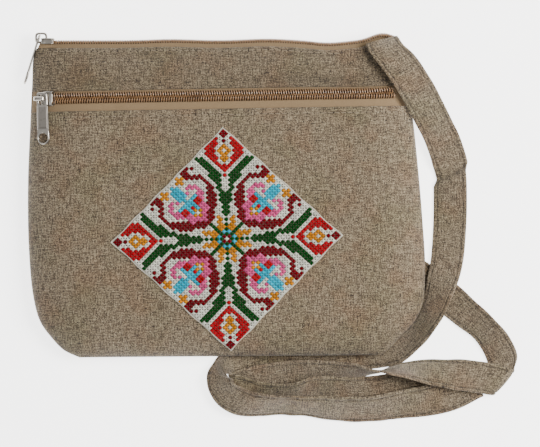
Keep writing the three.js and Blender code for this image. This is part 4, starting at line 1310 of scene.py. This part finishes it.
def make_thread_finish(name, code):
    """Soft cotton thread: each stitch's own tone value makes it lighter or darker. The value is random, with
    a little painted shade that darkens the lower thread.
    """
    material, tree, inputs = new_material(name + " thread", 0.6, Specular_IOR_Level=0.04)
    tone = add_node(tree, "ShaderNodeAttribute", attribute_name="tone").outputs["Fac"]
    colour = np.array(srgb(code))
    dark, light = (np.minimum(colour * (share, share, share, 1), 1) for share in (DARK_TONE, LIGHT_TONE))
    tree.links.new(mixed(tree, tone, tuple(dark), tuple(light)), inputs["Base Color"])
    place = add_node(tree, "ShaderNodeTexCoord").outputs["Object"]
    strand = add_node(tree, "ShaderNodeTexNoise", {"Vector": place, "Scale": 2500.0, "Detail": 2.0})
    set_bump(tree, inputs, strand.outputs["Fac"], 0.08 * MM)
    return material


def chart_letters():
    """The whole design as a grid of letters, from its eighth."""
    size = 2 * HALF_STITCHES + 1
    a, b = np.abs(np.indices((size, size)) - HALF_STITCHES)
    high, low = np.maximum(a, b), np.minimum(a, b)
    padded = np.array([list(row.ljust(len(CHART))) for row in CHART])
    return padded[high, low]


def cross_stitches(i, j, rng):
    """Two crossing threads for each stitch (i, j): arcs from corner to corner, the second one higher."""
    bodies, tones_and_shade = [], []
    share = np.linspace(-1, 1, 5)
    shift = rng.uniform(-0.07, 0.07, (2, len(i), 1))
    tone = rng.uniform(0.25, 1.0, len(i))
    girth = rng.uniform(0.92, 1.1, (len(i), 1))
    ups = np.tile((0.0, 0.0, 1.0), (len(i), 1))
    for slant, height in CROSS_LAYERS:
        along = (i[:, None] + share * CROSS_REACH) * STITCH_SIDE + shift[0]
        across = (j[:, None] + slant * share * CROSS_REACH) * STITCH_SIDE + shift[1]
        bow = CANVAS_HIGH - CROSS_SINK + height * (1 - np.abs(share) ** 2.5)
        paths = on_patch(along, across, np.broadcast_to(bow, along.shape))
        points, faces = round_threads(paths, ups, girth * CROSS_RADII, flat=CROSS_FLAT)
        bodies.append((points, faces))
        # the tone is random for each stitch, plus painted shade and light: the lower thread a little darker,
        # the upper a little lighter
        tones_and_shade.append(np.repeat(np.clip(tone + 0.12 * (height - 0.7), 0, 1), len(points) // len(i)))
    points, faces = join_bodies(bodies)
    return points, faces, np.concatenate(tones_and_shade)


def add_stitches():
    """All stitches, one piece for each thread colour."""
    rng = np.random.default_rng(7)
    letters = chart_letters()
    pieces = []
    for letter, (name, code) in THREADS.items():
        j, i = np.nonzero(letters == letter)
        points, faces, tone = cross_stitches(i - HALF_STITCHES, j - HALF_STITCHES, rng)
        finish = make_thread_finish(name, code)
        piece = make_piece("cross_stitch_" + name, points, faces, finish, marks={"tone": tone})
        settle(piece, "bag", "patch_canvas")
        pieces.append(piece)
    return pieces


canvas = add_canvas()
stitches = add_stitches()
